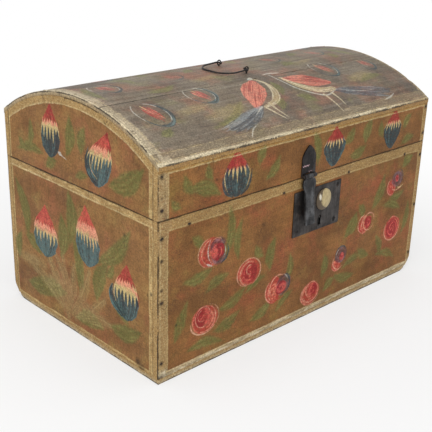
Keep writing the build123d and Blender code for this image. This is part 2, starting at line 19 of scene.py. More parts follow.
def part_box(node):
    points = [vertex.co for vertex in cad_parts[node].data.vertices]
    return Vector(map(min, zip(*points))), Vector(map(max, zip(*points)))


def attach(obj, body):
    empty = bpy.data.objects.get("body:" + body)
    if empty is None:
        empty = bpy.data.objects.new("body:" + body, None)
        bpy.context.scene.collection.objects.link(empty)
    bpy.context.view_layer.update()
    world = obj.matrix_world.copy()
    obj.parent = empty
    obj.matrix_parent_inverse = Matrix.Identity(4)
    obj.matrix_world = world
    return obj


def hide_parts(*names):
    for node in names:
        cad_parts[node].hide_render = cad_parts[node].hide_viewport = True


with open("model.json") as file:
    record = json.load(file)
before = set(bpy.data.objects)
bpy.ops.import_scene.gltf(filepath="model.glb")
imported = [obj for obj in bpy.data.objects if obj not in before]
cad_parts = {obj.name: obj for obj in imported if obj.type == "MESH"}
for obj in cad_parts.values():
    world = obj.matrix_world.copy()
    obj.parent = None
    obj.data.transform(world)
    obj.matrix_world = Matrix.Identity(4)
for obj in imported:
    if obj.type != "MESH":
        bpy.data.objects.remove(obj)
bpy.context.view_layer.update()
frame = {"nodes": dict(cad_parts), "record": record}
MM = 0.001

# %% [markdown]
# ## The camera
# The photograph was taken from the left front corner, a little above the lid, with a long
# lens. The camera's place and turn were worked out once from the corners of the box, so they
# are written here as plain numbers. Three axes make the turn: where the camera looks from,
# its right and its up, rolled by the small tilt that the photograph has.

# %% Camera
def new_object(name, data):
    """An object for a mesh, a lamp or a camera, linked into the scene."""
    made = bpy.data.objects.new(name, data)
    bpy.context.collection.objects.link(made)
    return made


CAMERA_PLACE = Vector((-0.7133, -0.7195, 0.4901))
AZIMUTH, ELEVATION, ROLL = (math.radians(a) for a in (-44.22, 21.56, 1.733))
SENSOR, LENS = 36.0, 70.79

back = Vector((math.sin(AZIMUTH) * math.cos(ELEVATION), -math.cos(AZIMUTH) * math.cos(ELEVATION),
               math.sin(ELEVATION)))
level = Vector((0, 0, 1)).cross(back).normalized()
upright = back.cross(level)
right = level * math.cos(ROLL) + upright * math.sin(ROLL)
up = upright * math.cos(ROLL) - level * math.sin(ROLL)

camera = new_object("camera", bpy.data.cameras.new("camera"))
camera.data.sensor_width, camera.data.lens = SENSOR, LENS
camera.data.clip_start, camera.data.clip_end = 0.05, 50.0
turned = Matrix((right, up, back)).transposed().to_4x4()
camera.matrix_world = Matrix.Translation(CAMERA_PLACE) @ turned
bpy.context.scene.camera = camera
bpy.context.scene.view_settings.view_transform = "Standard"
print("camera stands", round((CAMERA_PLACE - Vector((0, 0, 0.14))).length, 3), "m from the chest")

# %% [markdown]
# ## A desk for shader nodes
# Every finish here is made of nodes. Writing out each node and link would hide the idea
# behind the finish, so a small desk does the joining: it takes numbers, colours or sockets
# alike. Colours are written as a paint shop would read them from a screen, 0 to 255, and
# turned into the linear values that the shader works in.

# %% Shader helpers
def rgb(red, green, blue):
    """A screen colour, 0 to 255, as linear values with an alpha of 1."""
    parts = [c / 255 for c in (red, green, blue)]
    return tuple(c / 12.92 if c < 0.04045 else ((c + 0.055) / 1.055) ** 2.4 for c in parts) + (1.0,)


class Desk:
    """Lays out nodes in one tree and joins them. A value is a socket, a number or a colour."""

    def __init__(self, tree):
        self.tree = tree

    def join(self, value, socket):
        if isinstance(value, bpy.types.NodeSocket):
            self.tree.links.new(value, socket)
        elif value is not None:
            socket.default_value = value

    def node(self, kind, inputs=(), **settings):
        made = self.tree.nodes.new("ShaderNode" + kind)
        for name, value in settings.items():
            setattr(made, name, value)
        for key, value in dict(inputs).items():
            self.join(value, made.inputs[key])
        return made

    def math(self, how, a, b=None, c=None, clamp=False):
        return self.node("Math", {0: a, 1: b, 2: c}, operation=how, use_clamp=clamp).outputs[0]

    def times(self, a, b, clamp=False):
        return self.math("MULTIPLY", a, b, clamp=clamp)

    def mix(self, share, a, b, how="MIX"):
        return self.node("Mix", {0: share, 6: a, 7: b}, data_type="RGBA", blend_type=how).outputs[2]

    def between(self, share, a, b):
        return self.node("Mix", {0: share, 2: a, 3: b}, data_type="FLOAT").outputs[0]

    def rise(self, value, low, high, first=0.0, last=1.0):
        keys = {0: value, 1: low, 2: high, 3: first, 4: last}
        return self.node("MapRange", keys, interpolation_type="SMOOTHSTEP").outputs[0]

    def noise(self, vector, scale, detail=2.0, rough=0.5, warp=0.0, shift=None):
        """Noise from 0 to 1. A shift takes it from another place, so that two noises differ."""
        vector = self.stretch(vector, (1, 1, 1), shift) if shift else vector
        keys = {"Vector": vector, "Scale": scale, "Detail": detail, "Roughness": rough,
                "Distortion": warp}
        return self.node("TexNoise", keys).outputs[0]

    def streaks(self, vector, scales, detail=2.0, rough=0.5, warp=0.0):
        """Noise with its own scale along each axis, for grain and the marks of a brush."""
        return self.noise(self.stretch(vector, scales), 1.0, detail, rough, warp)

    def stretch(self, vector, scale, shift=(0, 0, 0), turn=(0, 0, 0)):
        keys = {"Vector": vector, "Scale": scale, "Location": shift, "Rotation": turn}
        return self.node("Mapping", keys).outputs[0]

    def reach(self, place, centre=(0, 0, 0), weights=(1, 1, 1)):
        """How far a place lies from a centre, with a weight for each axis."""
        gap = self.node("VectorMath", {0: place, 1: centre}, operation="SUBTRACT").outputs[0]
        gap = self.node("VectorMath", {0: gap, 1: weights}, operation="MULTIPLY").outputs[0]
        return self.node("VectorMath", {0: gap}, operation="LENGTH").outputs["Value"]

    def bump(self, height, strength, distance):
        keys = {"Strength": strength, "Distance": distance, "Height": height}
        return self.node("Bump", keys).outputs[0]

    def field(self, name):
        return self.node("Attribute", attribute_name=name).outputs["Fac"]

    def group(self, tree, inputs):
        made = self.tree.nodes.new("ShaderNodeGroup")
        made.node_tree = tree
        for key, value in inputs.items():
            self.join(value, made.inputs[key])
        return made.outputs


def new_group(name, inputs, outputs):
    """An empty shader group, its desk, its inputs as sockets and its outputs to join."""
    tree = bpy.data.node_groups.new(name, "ShaderNodeTree")
    kinds = {"n": "NodeSocketFloat", "v": "NodeSocketVector", "c": "NodeSocketColor"}
    for title, kind in inputs:
        tree.interface.new_socket(title, in_out="INPUT", socket_type=kinds[kind])
    for title, kind in outputs:
        tree.interface.new_socket(title, in_out="OUTPUT", socket_type=kinds[kind])
    source = tree.nodes.new("NodeGroupInput").outputs
    target = tree.nodes.new("NodeGroupOutput").inputs
    return tree, Desk(tree), source, target


def new_material(name):
    """A material with a Principled shader joined to its output."""
    material = bpy.data.materials.new(name)
    material.use_nodes = True
    tree = material.node_tree
    tree.nodes.clear()
    desk = Desk(tree)
    shader = desk.node("BsdfPrincipled")
    output = desk.node("OutputMaterial")
    tree.links.new(shader.outputs[0], output.inputs["Surface"])
    place = desk.node("TexCoord").outputs["Object"]
    return material, desk, shader.inputs, place


# %% [markdown]
# ## Effects that several finishes share
# Old paint has a few habits that show on every board: brushed edges are ragged, dirt gathers
# in specks and clouds, thin cracks run through it, and the wood's grain shows as long lines.
# Each habit is one shader group with named inputs, so every finish can use it with values of
# its own. All of them read a position in metres, so a noise scale is a number of waves per
# metre: 900 is a mark about every millimetre.

# %% Shared shader groups
brushed_edge, desk, given, made = new_group(
    "brushed edge", [("Vector", "v"), ("Inside", "n"), ("Ragged", "n"), ("Soft", "n")],
    [("Mask", "n")])
fine = desk.noise(given["Vector"], 900.0, 3.0, 0.6)
broad = desk.noise(given["Vector"], 170.0, 2.0)
shake = desk.math("SUBTRACT", desk.math("ADD", fine, broad), 1.0)
edge = desk.math("MULTIPLY_ADD", shake, given["Ragged"], given["Inside"])
desk.join(desk.rise(edge, desk.times(given["Soft"], -1.0), given["Soft"]), made["Mask"])

old_dirt, desk, given, made = new_group(
    "old dirt", [("Vector", "v"), ("Speck Size", "n")],
    [("Speck", "n"), ("Cloud", "n"), ("Stipple", "n")])
speck = desk.noise(given["Vector"], given["Speck Size"], 2.0, 0.6)
desk.join(desk.rise(speck, 0.64, 0.74), made["Speck"])
desk.join(desk.rise(desk.noise(given["Vector"], 23.0, 6.0, 0.62), 0.34, 0.7), made["Cloud"])
desk.join(desk.noise(given["Vector"], 620.0, 3.0, 0.65), made["Stipple"])

paint_cracks, desk, given, made = new_group(
    "paint cracks", [("Vector", "v"), ("Size", "n")], [("Crack", "n")])
gap = desk.node("TexVoronoi", {"Vector": given["Vector"], "Scale": given["Size"]},
                feature="DISTANCE_TO_EDGE").outputs[0]
patch = desk.rise(desk.noise(given["Vector"], 31.0, 3.0), 0.5, 0.66)
desk.join(desk.times(desk.rise(gap, 0.0, 0.06, 1.0, 0.0), patch), made["Crack"])

board_grain, desk, given, made = new_group(
    "board grain", [("Vector", "v")], [("Line", "n"), ("Tone", "n"), ("Pore", "n")])
swell = desk.streaks(given["Vector"], (3.0, 30.0, 30.0), 3.0, 0.5, 0.6)
rings = desk.math("SINE", desk.times(swell, 70.0))
desk.join(desk.rise(rings, 0.1, 1.0), made["Line"])
desk.join(desk.streaks(given["Vector"], (7.0, 75.0, 75.0), 4.0, 0.6), made["Tone"])
desk.join(desk.rise(desk.streaks(given["Vector"], (60.0, 1500.0, 1500.0), 2.0), 0.5, 0.7),
          made["Pore"])

bare_board, desk, given, made = new_group(
    "bare board", [("Vector", "v")], [("Color", "c"), ("Height", "n")])
grain = desk.group(board_grain, {"Vector": given["Vector"]})
wood = desk.mix(grain["Tone"], rgb(150, 116, 76), rgb(112, 82, 50))
wood = desk.mix(desk.times(grain["Line"], 0.45), wood, rgb(96, 66, 38))
wood = desk.mix(desk.times(grain["Pore"], 0.3), wood, rgb(76, 52, 30))
dirt = desk.group(old_dirt, {"Vector": given["Vector"], "Speck Size": 260.0})
wood = desk.mix(desk.times(dirt["Cloud"], 0.35), wood, rgb(88, 68, 48))
wood = desk.mix(desk.times(dirt["Speck"], 0.4), wood, rgb(52, 38, 26))
desk.join(wood, made["Color"])
desk.join(desk.math("MULTIPLY_ADD", grain["Pore"], -0.6, desk.times(grain["Line"], -0.3)),
          made["Height"])
print("shader groups:", [g.name for g in bpy.data.node_groups])

# %% [markdown]
# ## The painter's coats
# The painter worked in thin coats, one colour over another: the brown glaze first, then the
# cream bands, soft olive leaves, and the flowers in coral, red, slate, violet and cream. Each
# coat is stored on the mesh as one number per point: how many millimetres that point lies
# inside the coat's edge. The shader turns that distance into a mask with a brushed edge, so a
# stroke stays sharp even between the points of the mesh. A picture would be simpler, but it
# has one fixed size, and a distance has none. A coat has two colours, and the hairs of the
# brush, stored as a tone, choose between them. The list runs from the lowest coat to the
# topmost: ochre edges and mist for the birds' tails have coats of their own too.

# %% Coats of paint
# name: main colour, colour of the lighter hairs, cover, softness and raggedness of the edge in mm
COATS = {
    "band": (rgb(176, 142, 88), rgb(206, 178, 122), 0.95, 0.5, 1.0),
    "ochre": (rgb(168, 124, 58), rgb(198, 162, 94), 0.8, 1.0, 3.0),
    "leaf": (rgb(106, 108, 54), rgb(132, 130, 72), 0.88, 2.5, 4.0),
    "tan": (rgb(160, 140, 90), rgb(184, 166, 116), 0.55, 3.6, 5.0),
    "coral": (rgb(192, 62, 56), rgb(228, 130, 108), 0.84, 0.8, 1.6),
    "violet": (rgb(80, 54, 64), rgb(112, 92, 104), 0.76, 1.4, 1.8),
    "red": (rgb(156, 34, 42), rgb(206, 84, 74), 0.9, 0.9, 1.5),
    "slate": (rgb(30, 55, 63), rgb(76, 110, 112), 0.93, 0.6, 1.1),
    "mist": (rgb(56, 72, 86), rgb(124, 134, 138), 0.86, 1.4, 2.6),
    "cream": (rgb(224, 203, 142), rgb(232, 158, 130), 0.84, 0.4, 0.7),
    "pink": (rgb(226, 160, 130), rgb(240, 208, 176), 0.86, 0.5, 1.1),
    "white": (rgb(222, 216, 200), rgb(176, 184, 180), 0.82, 0.5, 1.0),
    "line": (rgb(214, 190, 140), rgb(228, 214, 178), 0.72, 0.35, 1.6),
}
# The stain mark holds real stains, and also painted shade: the dark line where the lid sits on the
# box.
MARKS = ("tone", "chalk", "stain_and_shade", "worn", "bare")
FAR_OUT = -4.0  # mm, stored for a point that lies well outside a coat
RUBBED_BAND = (0.78, 2.6, 8.0)  # cover, softness and raggedness of the band on the dome
RUBBED_PALE, RUBBED_DARK = rgb(172, 164, 148), rgb(76, 60, 56)
print(len(COATS), "coats and", len(MARKS), "marks")

# %% [markdown]
# ## The brown glaze
# The ground of every board is a thin brown glaze. It isn't one colour: main, dark, red and
# ochre tones lie in clouds over each other, the brush left fine marks and broad sweeps, and
# the grain shows through. On the dome it is rubbed pale on the high places, and dirt
# darkens the low ones.

# %% Brown glaze
def brown_glaze(desk, place, along, grain, ground, rub):
    """The ground of a board, and the marks of its brush."""
    main, dark, red, ochre = ground
    brush = desk.streaks(place, (430.0, 430.0, 34.0), 4.0, 0.7, 0.7)
    sweep = desk.streaks(along, (16.0, 80.0, 80.0), 3.0, 0.5, 0.8)
    mottle = desk.noise(place, 120.0, 7.0, 0.72)
    paint = desk.mix(desk.rise(desk.noise(place, 17.0, 5.0, 0.62), 0.38, 0.64), main, dark)
    reddish = desk.noise(place, 21.0, 6.0, 0.65, shift=(3.1, 1.7, 0.4))
    paint = desk.mix(desk.rise(reddish, 0.46, 0.7), paint, red)
    golden = desk.noise(place, 26.0, 5.0, 0.65, shift=(7.3, 5.1, 2.2))
    paint = desk.mix(desk.rise(golden, 0.5, 0.74), paint, ochre)
    for texture, change in ((brush, 0.08), (sweep, 0.08), (mottle, 0.13)):
        shade = desk.rise(texture, 0.28, 0.72, 1 - change, 1 + change)
        paint = desk.mix(1.0, paint, shade, "MULTIPLY")
    paint = desk.mix(desk.times(grain["Line"], 0.18), paint, dark)
    paint = desk.mix(desk.times(grain["Pore"], 0.3), paint, dark)
    if rub:
        rubbed = desk.streaks(along, (9.0, 170.0, 170.0), 6.0, 0.75, 0.5)
        paint = desk.mix(desk.rise(rubbed, 0.48, 0.76, 0.0, rub), paint, RUBBED_PALE)
        paint = desk.mix(desk.rise(rubbed, 0.36, 0.5, rub, 0.0), paint, RUBBED_DARK)
    return paint, brush


# %% [markdown]
# ## Coats over the glaze
# One loop lays all coats, in the painter's order. Each reads its own field, gets a brushed
# edge and is mixed over what is there. Old paint is also worn thin in streaks, where the
# glaze shows through. The cream bands are the most handled paint, so they have more to
# them: chalk, flecks, dim places and a paler line along their inner edge.

# %% Coats over the glaze
def band_colour(desk, place, inside, hairs, cream, chalk):
    """The cream of the bands, with chalk, flecks, dim places and a paler inner edge."""
    chalked = desk.field("chalk")
    colour = desk.mix(chalked, cream, desk.mix(desk.rise(hairs, -0.2, 0.3), *chalk))
    fleck = desk.noise(place, 640.0, 4.0, 0.75, shift=(1.3, 2.2, 5.0))
    colour = desk.mix(desk.rise(fleck, 0.52, 0.68, 0.0, 0.75), colour, rgb(228, 208, 160))
    dim = desk.times(desk.rise(fleck, 0.3, 0.45, 0.7, 0.0), desk.rise(chalked, 0, 1, 1, 0.5))
    colour = desk.mix(dim, colour, rgb(92, 68, 40))
    edge = desk.times(desk.rise(inside, 0.2, 0.9), desk.rise(inside, 1.3, 2.2, 1.0, 0.0))
    return desk.mix(desk.times(edge, 0.5), colour, rgb(214, 188, 132))


def lay_coats(desk, place, along, paint, hairs, chalk, rub, lift):
    """The paint with every coat over it, and a mask of where any coat lies."""
    thick = None
    streaky = desk.streaks(along, (160.0, 560.0, 560.0), 4.0, 0.7)
    for coat, (first, second, cover, soft, ragged) in COATS.items():
        inside = desk.field(coat)
        if coat == "band" and rub:
            cover, soft, ragged = RUBBED_BAND
        edge = {"Vector": place, "Inside": inside, "Ragged": ragged, "Soft": soft}
        mask = desk.group(brushed_edge, edge)["Mask"]
        colour = desk.mix(desk.rise(hairs, -0.12, 0.42), first, second)
        if coat == "band":
            colour = band_colour(desk, place, inside, hairs, colour, chalk)
        thinnest = 0.85 if coat == "slate" else 0.5
        left = desk.rise(streaky, 0.32, 0.56, thinnest, 1.0)
        paint = desk.mix(desk.times(mask, desk.times(left, cover * lift)), paint, colour)
        thick = mask if thick is None else desk.math("MAXIMUM", thick, mask)
    return paint, thick


# %% [markdown]
# ## Age, and the whole finish
# Long use lies over the paint: a fine stipple, clouds and specks of dirt, cracks, edges worn to
# dark wood, and stains round the nails. The same dark colour also lays painted shade along the line
# where the lid sits on the box. The whole finish then joins glaze, coats and age, shows bare wood
# where the board was never painted, and raises the paint a little over the wood.

# %% Painted finish
def add_age(desk, place, paint, tone, dirt, crack, grit):
    """The paint under stipple, dirt, cracks, worn edges, stains and painted shade."""
    paint = desk.mix(1.0, paint, desk.rise(tone, -1.0, 1.0, 0.82, 1.18), "MULTIPLY")
    stipple = desk.rise(dirt["Stipple"], 0.28, 0.72, 1 + grit, 1 - grit)
    paint = desk.mix(1.0, paint, stipple, "MULTIPLY")
    for what, share, colour in ((dirt["Cloud"], 0.14, rgb(84, 60, 36)),
                                (dirt["Speck"], 0.5, rgb(56, 40, 28)),
                                (crack, 0.5, rgb(62, 44, 30))):
        paint = desk.mix(desk.times(what, share), paint, colour)
    frayed = desk.math("MULTIPLY_ADD", desk.noise(place, 480.0, 4.0, 0.7), 1.2, -0.6)
    worn = desk.rise(desk.math("ADD", desk.field("worn"), frayed), 0.35, 0.62)
    paint = desk.mix(desk.times(worn, 0.88), paint, rgb(52, 38, 26))
    # darkest of all: real stains, and the painted shade where the lid sits on the box
    blotchy = desk.rise(desk.noise(place, 300.0, 4.0, 0.7), 0.25, 0.6, 0.55, 1.0)
    return desk.mix(desk.times(desk.field("stain_and_shade"), blotchy, clamp=True), paint, rgb(38, 27, 19))


def painted_finish(name, ground, turn, chalk, bump=0.4, rub=0.0, gloss=0.22, lift=1.0, grit=0.27):
    """The finish of one kind of painted board. turn lays the grain along the board, chalk has
    the two tones of its palest bands, and rub, lift and grit are for paint worn by hands."""
    material, desk, shader, place = new_material(name)
    along = desk.stretch(place, (1, 1, 1), turn=(0, 0, turn))
    grain = desk.group(board_grain, {"Vector": along})
    dirt = desk.group(old_dirt, {"Vector": place, "Speck Size": 330.0})
    crack = desk.group(paint_cracks, {"Vector": place, "Size": 210.0})["Crack"]
    tone = desk.field("tone")
    hairs = desk.math("MULTIPLY_ADD", desk.noise(place, 240.0, 4.0, 0.7), 1.2,
                      desk.math("SUBTRACT", tone, 0.6))
    paint, brush = brown_glaze(desk, place, along, grain, ground, rub)
    paint, thick = lay_coats(desk, place, along, paint, hairs, chalk, rub, lift)
    paint = add_age(desk, place, paint, tone, dirt, crack, grit)
    bare = desk.field("bare")
    wood = desk.group(bare_board, {"Vector": along})
    desk.join(desk.mix(bare, paint, wood["Color"]), shader["Base Color"])
    rough = desk.math("MULTIPLY_ADD", dirt["Cloud"], 0.14, 0.46)
    rough = desk.math("MULTIPLY_ADD", dirt["Stipple"], 0.16, rough)
    desk.join(desk.between(bare, rough, 0.78), shader["Roughness"])
    height = desk.math("MULTIPLY_ADD", thick, 0.5, desk.times(grain["Pore"], -0.35))
    for texture, raised in ((brush, 0.3), (crack, -0.8), (dirt["Stipple"], 0.7)):
        height = desk.math("MULTIPLY_ADD", texture, raised, height)
    height = desk.between(bare, height, wood["Height"])
    desk.join(desk.bump(height, bump, 0.0005), shader["Normal"])
    shader["Specular IOR Level"].default_value = gloss
    return material


# main, dark, red and ochre tones of the three kinds of ground
SIDE_GROUND = (rgb(147, 101, 55), rgb(120, 81, 43), rgb(154, 87, 54), rgb(143, 111, 57))
END_GROUND = (rgb(154, 112, 64), rgb(130, 90, 52), rgb(156, 98, 64), rgb(156, 126, 72))
DOME_GROUND = (rgb(124, 111, 92), rgb(94, 83, 70), rgb(144, 100, 78), rgb(122, 114, 76))
CHALK, DOME_CHALK = (
    (rgb(176, 162, 130), rgb(220, 208, 178)), (rgb(140, 127, 103), rgb(200, 186, 158)))
side_paint = painted_finish("painted side boards", SIDE_GROUND, 0.0, CHALK)
end_paint = painted_finish("painted end boards", END_GROUND, math.pi / 2, CHALK)
dome_paint = painted_finish("painted dome", DOME_GROUND, 0.0, DOME_CHALK, rub=0.42, grit=0.38,
                            gloss=0.42, lift=0.8)
print("painted finishes use", len(side_paint.node_tree.nodes), "nodes each")

# %% [markdown]
# ## Brushes
# A brush stroke is a path with a width that changes along it. Its field is half the width
# less the distance from the path, in millimetres. A blob is the same for an ellipse, and a
# ring is a stroke along an ellipse. These three and a leaf are all that the painter's
# flowers need. Every brush also leaves the trace of its hairs: along a stroke, and round and
# round in a blob, as a rose is painted.

# %% A face to paint on
TABLE = 61  # random values along each side of the table, before it repeats


def random_field(u, v, size, seed):
    """Smooth random values, 0 to 1, with a new value every size millimetres."""
    table = np.random.default_rng(seed).random((TABLE, TABLE))
    a, b = u / size, v / size
    i, j = np.floor(a).astype(int), np.floor(b).astype(int)
    a, b = a - i, b - j
    a, b = a * a * (3 - 2 * a), b * b * (3 - 2 * b)
    i, j, k, m = i % TABLE, j % TABLE, (i + 1) % TABLE, (j + 1) % TABLE
    low = table[i, j] * (1 - a) + table[k, j] * a
    high = table[i, m] * (1 - a) + table[k, m] * a
    return low * (1 - b) + high * b


class Face:
    """One painted face: its points in mm, and how far inside each coat every point lies."""

    def __init__(self, u, v):
        self.u, self.v = u, v
        self.fields = {coat: np.full(u.shape, FAR_OUT) for coat in COATS}
        self.fields.update({mark: np.zeros(u.shape) for mark in MARKS})

    def near(self, low, high, reach):
        """The points inside a box that is grown by reach."""
        return np.nonzero((self.u > low[0] - reach) & (self.u < high[0] + reach)
                          & (self.v > low[1] - reach) & (self.v < high[1] + reach))[0]

    def lay(self, mark, where, value):
        """Raises a field to the value wherever it is lower."""
        field = self.fields[mark]
        field[where] = np.maximum(field[where], value)

    def everywhere(self):
        return np.arange(len(self.u))


# %% [markdown]
# ## Strokes
# The stroke is the painter's main tool. Its few points are joined by a smooth curve, and for
# every point of the mesh near it the code finds the closest place on that curve. The distance
# gives the field, and the place along and across the stroke gives the trace of the hairs.

# %% Strokes and leaves
def smooth_path(points, count):
    """Points on a smooth curve through a few given ones."""
    points = np.array(points, float)
    padded = np.vstack([2 * points[0] - points[1], points, 2 * points[-1] - points[-2]])
    at = np.linspace(0, len(points) - 1.0001, count)
    k, t = at.astype(int), (at % 1)[:, None]
    a, b, c, d = padded[k], padded[k + 1], padded[k + 2], padded[k + 3]
    bend, twist = 2 * a - 5 * b + 4 * c - d, 3 * b - a - 3 * c + d
    return 0.5 * (2 * b + (c - a) * t + bend * t**2 + twist * t**3)


def stroke(face, coat, points, widths, seed=0, hairy=None):
    """One pull of the brush along a few points, with its widths from start to end. hairy is
    how strong the trace of the hairs is."""
    path = smooth_path(points, 5 * len(points)) if len(points) > 2 else np.array(points, float)
    where = face.near(path.min(0), path.max(0), max(widths) / 2 - FAR_OUT)
    u, v = face.u[where], face.v[where]
    gap, share, side = np.full(u.shape, 1e9), np.zeros(u.shape), np.zeros(u.shape)
    for k in range(len(path) - 1):
        start, run = path[k], path[k + 1] - path[k]
        t = np.clip(((u - start[0]) * run[0] + (v - start[1]) * run[1]) / (run @ run), 0, 1)
        away = np.hypot(u - start[0] - t * run[0], v - start[1] - t * run[1])
        turn = np.sign((u - start[0]) * run[1] - (v - start[1]) * run[0])
        closer = away < gap
        gap, share = np.where(closer, away, gap), np.where(closer, (k + t) / (len(path) - 1), share)
        side = np.where(closer, turn * away, side)
    half = np.interp(share, np.linspace(0, 1, len(widths)), widths) / 2
    inside = half - gap
    face.lay(coat, where, inside)
    hair = random_field(side * 0.8 + 50, share * 3 + seed, 1.0, seed + 5) - 0.5
    paint = inside > -0.5
    hairy = hairy if hairy is not None else (1.1 if max(widths) > 4 else 0.3)
    face.fields["tone"][where[paint]] = hair[paint] * hairy


def strokes(face, rows):
    """Several strokes, one after another."""
    for row in rows:
        stroke(face, *row)


def leaf(face, start, end, wide, bow=0.12, seed=0):
    """A soft pointed leaf, bowed to one side."""
    start, end = np.array(start, float), np.array(end, float)
    side = np.array([start[1] - end[1], end[0] - start[0]]) * bow
    widths = [wide * w for w in (0.1, 0.55, 0.88, 1.0, 0.85, 0.5, 0.05)]
    stroke(face, "leaf", [start, (start + end) / 2 + side, end], widths, seed, 0.6)


# %% [markdown]
# ## Blobs, rings, bands and lines
# A blob and a ring are made from an ellipse, a band from the distance to the board's edges,
# and an edge line from the distance to any line. Bands and lines waver a little, because a
# hand drew them.

# %% Blobs, rings, bands and lines
def turned_by(degrees, p, q):
    """The point or points p, q, turned anticlockwise."""
    c, s = math.cos(math.radians(degrees)), math.sin(math.radians(degrees))
    return p * c - q * s, p * s + q * c


def blob(face, coat, centre, radii, tilt=0.0, seed=0, hairy=1.3):
    """A rounded patch of paint."""
    where = face.near(centre, centre, max(radii) + 3)
    p, q = turned_by(-tilt, face.u[where] - centre[0], face.v[where] - centre[1])
    p, q = p / radii[0], q / radii[1]
    reach = np.hypot(p, q)
    turn = np.arctan2(q, p)
    lumps = random_field(3 + 2.2 * np.cos(turn), 3 + 2.2 * np.sin(turn), 1.0, seed + 9)
    inside = (1 + 0.16 * (lumps - 0.5) - reach) * min(radii)
    face.lay(coat, where, np.maximum(inside, FAR_OUT))
    paint = inside > -0.5
    wind = reach * min(radii) * 0.55 + turn * 0.35
    hair = random_field(wind + 40, np.cos(turn) * 1.5 + 60, 1.0, seed + 3) - 0.5
    face.fields["tone"][where[paint]] = hair[paint] * hairy


def ring(face, coat, centre, radii, start, sweep, wide, tilt=0.0, seed=0):
    """A curved stroke along part of an ellipse, in degrees anticlockwise from the right."""
    count = max(4, int(abs(sweep) / 30) + 2)
    angles = np.radians(start + sweep * np.linspace(0, 1, count))
    p, q = turned_by(tilt, radii[0] * np.cos(angles), radii[1] * np.sin(angles))
    path = np.stack([centre[0] + p, centre[1] + q], 1)
    stroke(face, coat, path, [wide * w for w in (0.4, 1.0, 0.8, 1.0, 0.7, 0.3)], seed)


def band(face, left, right, top, bottom=None):
    """Cream bands along the edges. Each value is where the band's inner edge runs, in mm."""
    u, v = face.u, face.v
    wave = 1.3 * (random_field(u, v, 24.0, 7) - 0.5) + 0.8 * (random_field(u, v, 7.0, 8) - 0.5)
    upright = np.maximum(left - u, u - right)
    level = [v - top] if bottom is None else [v - top, bottom - v]
    inside = np.maximum.reduce([upright, *level]) + wave
    face.lay("band", face.everywhere(), np.clip(inside, FAR_OUT, 9))
    along = [np.where(upright > 0, *shares) for shares in ((1.0, 0.2), (0.2, 1.0))]
    streaks = random_field(u * along[0], v * along[1], 2.0, 31)
    face.fields["tone"] = 0.7 * (streaks - 0.5) * (inside > 0)


def edge_line(face, mark, gap, wide, strength=1.0, seed=0):
    """A thin uneven line where gap, the distance from an edge, is small."""
    patchy = random_field(face.u + 5 * face.v, face.v, 16.0, seed + 40)
    fray = random_field(face.u, face.v, 2.4, seed + 41)
    inside = wide * (0.2 + 1.3 * patchy * (0.5 + fray)) - np.abs(gap)
    if mark in COATS:
        face.lay(mark, face.everywhere(), np.clip(inside, FAR_OUT, 2))
    else:
        face.lay(mark, face.everywhere(), strength * np.clip(inside / wide + 0.5, 0, 1))


# %% [markdown]
# ## The tulip
# Every tulip has the same build: a red point, a cream middle and a slate foot, and the colours
# run into each other as long brush spikes. So one rule paints them all: across the flower the
# spikes are counted like fingers, and each has a random length. Size, lean and the heights of
# the two borders are what differ from one flower to the next.

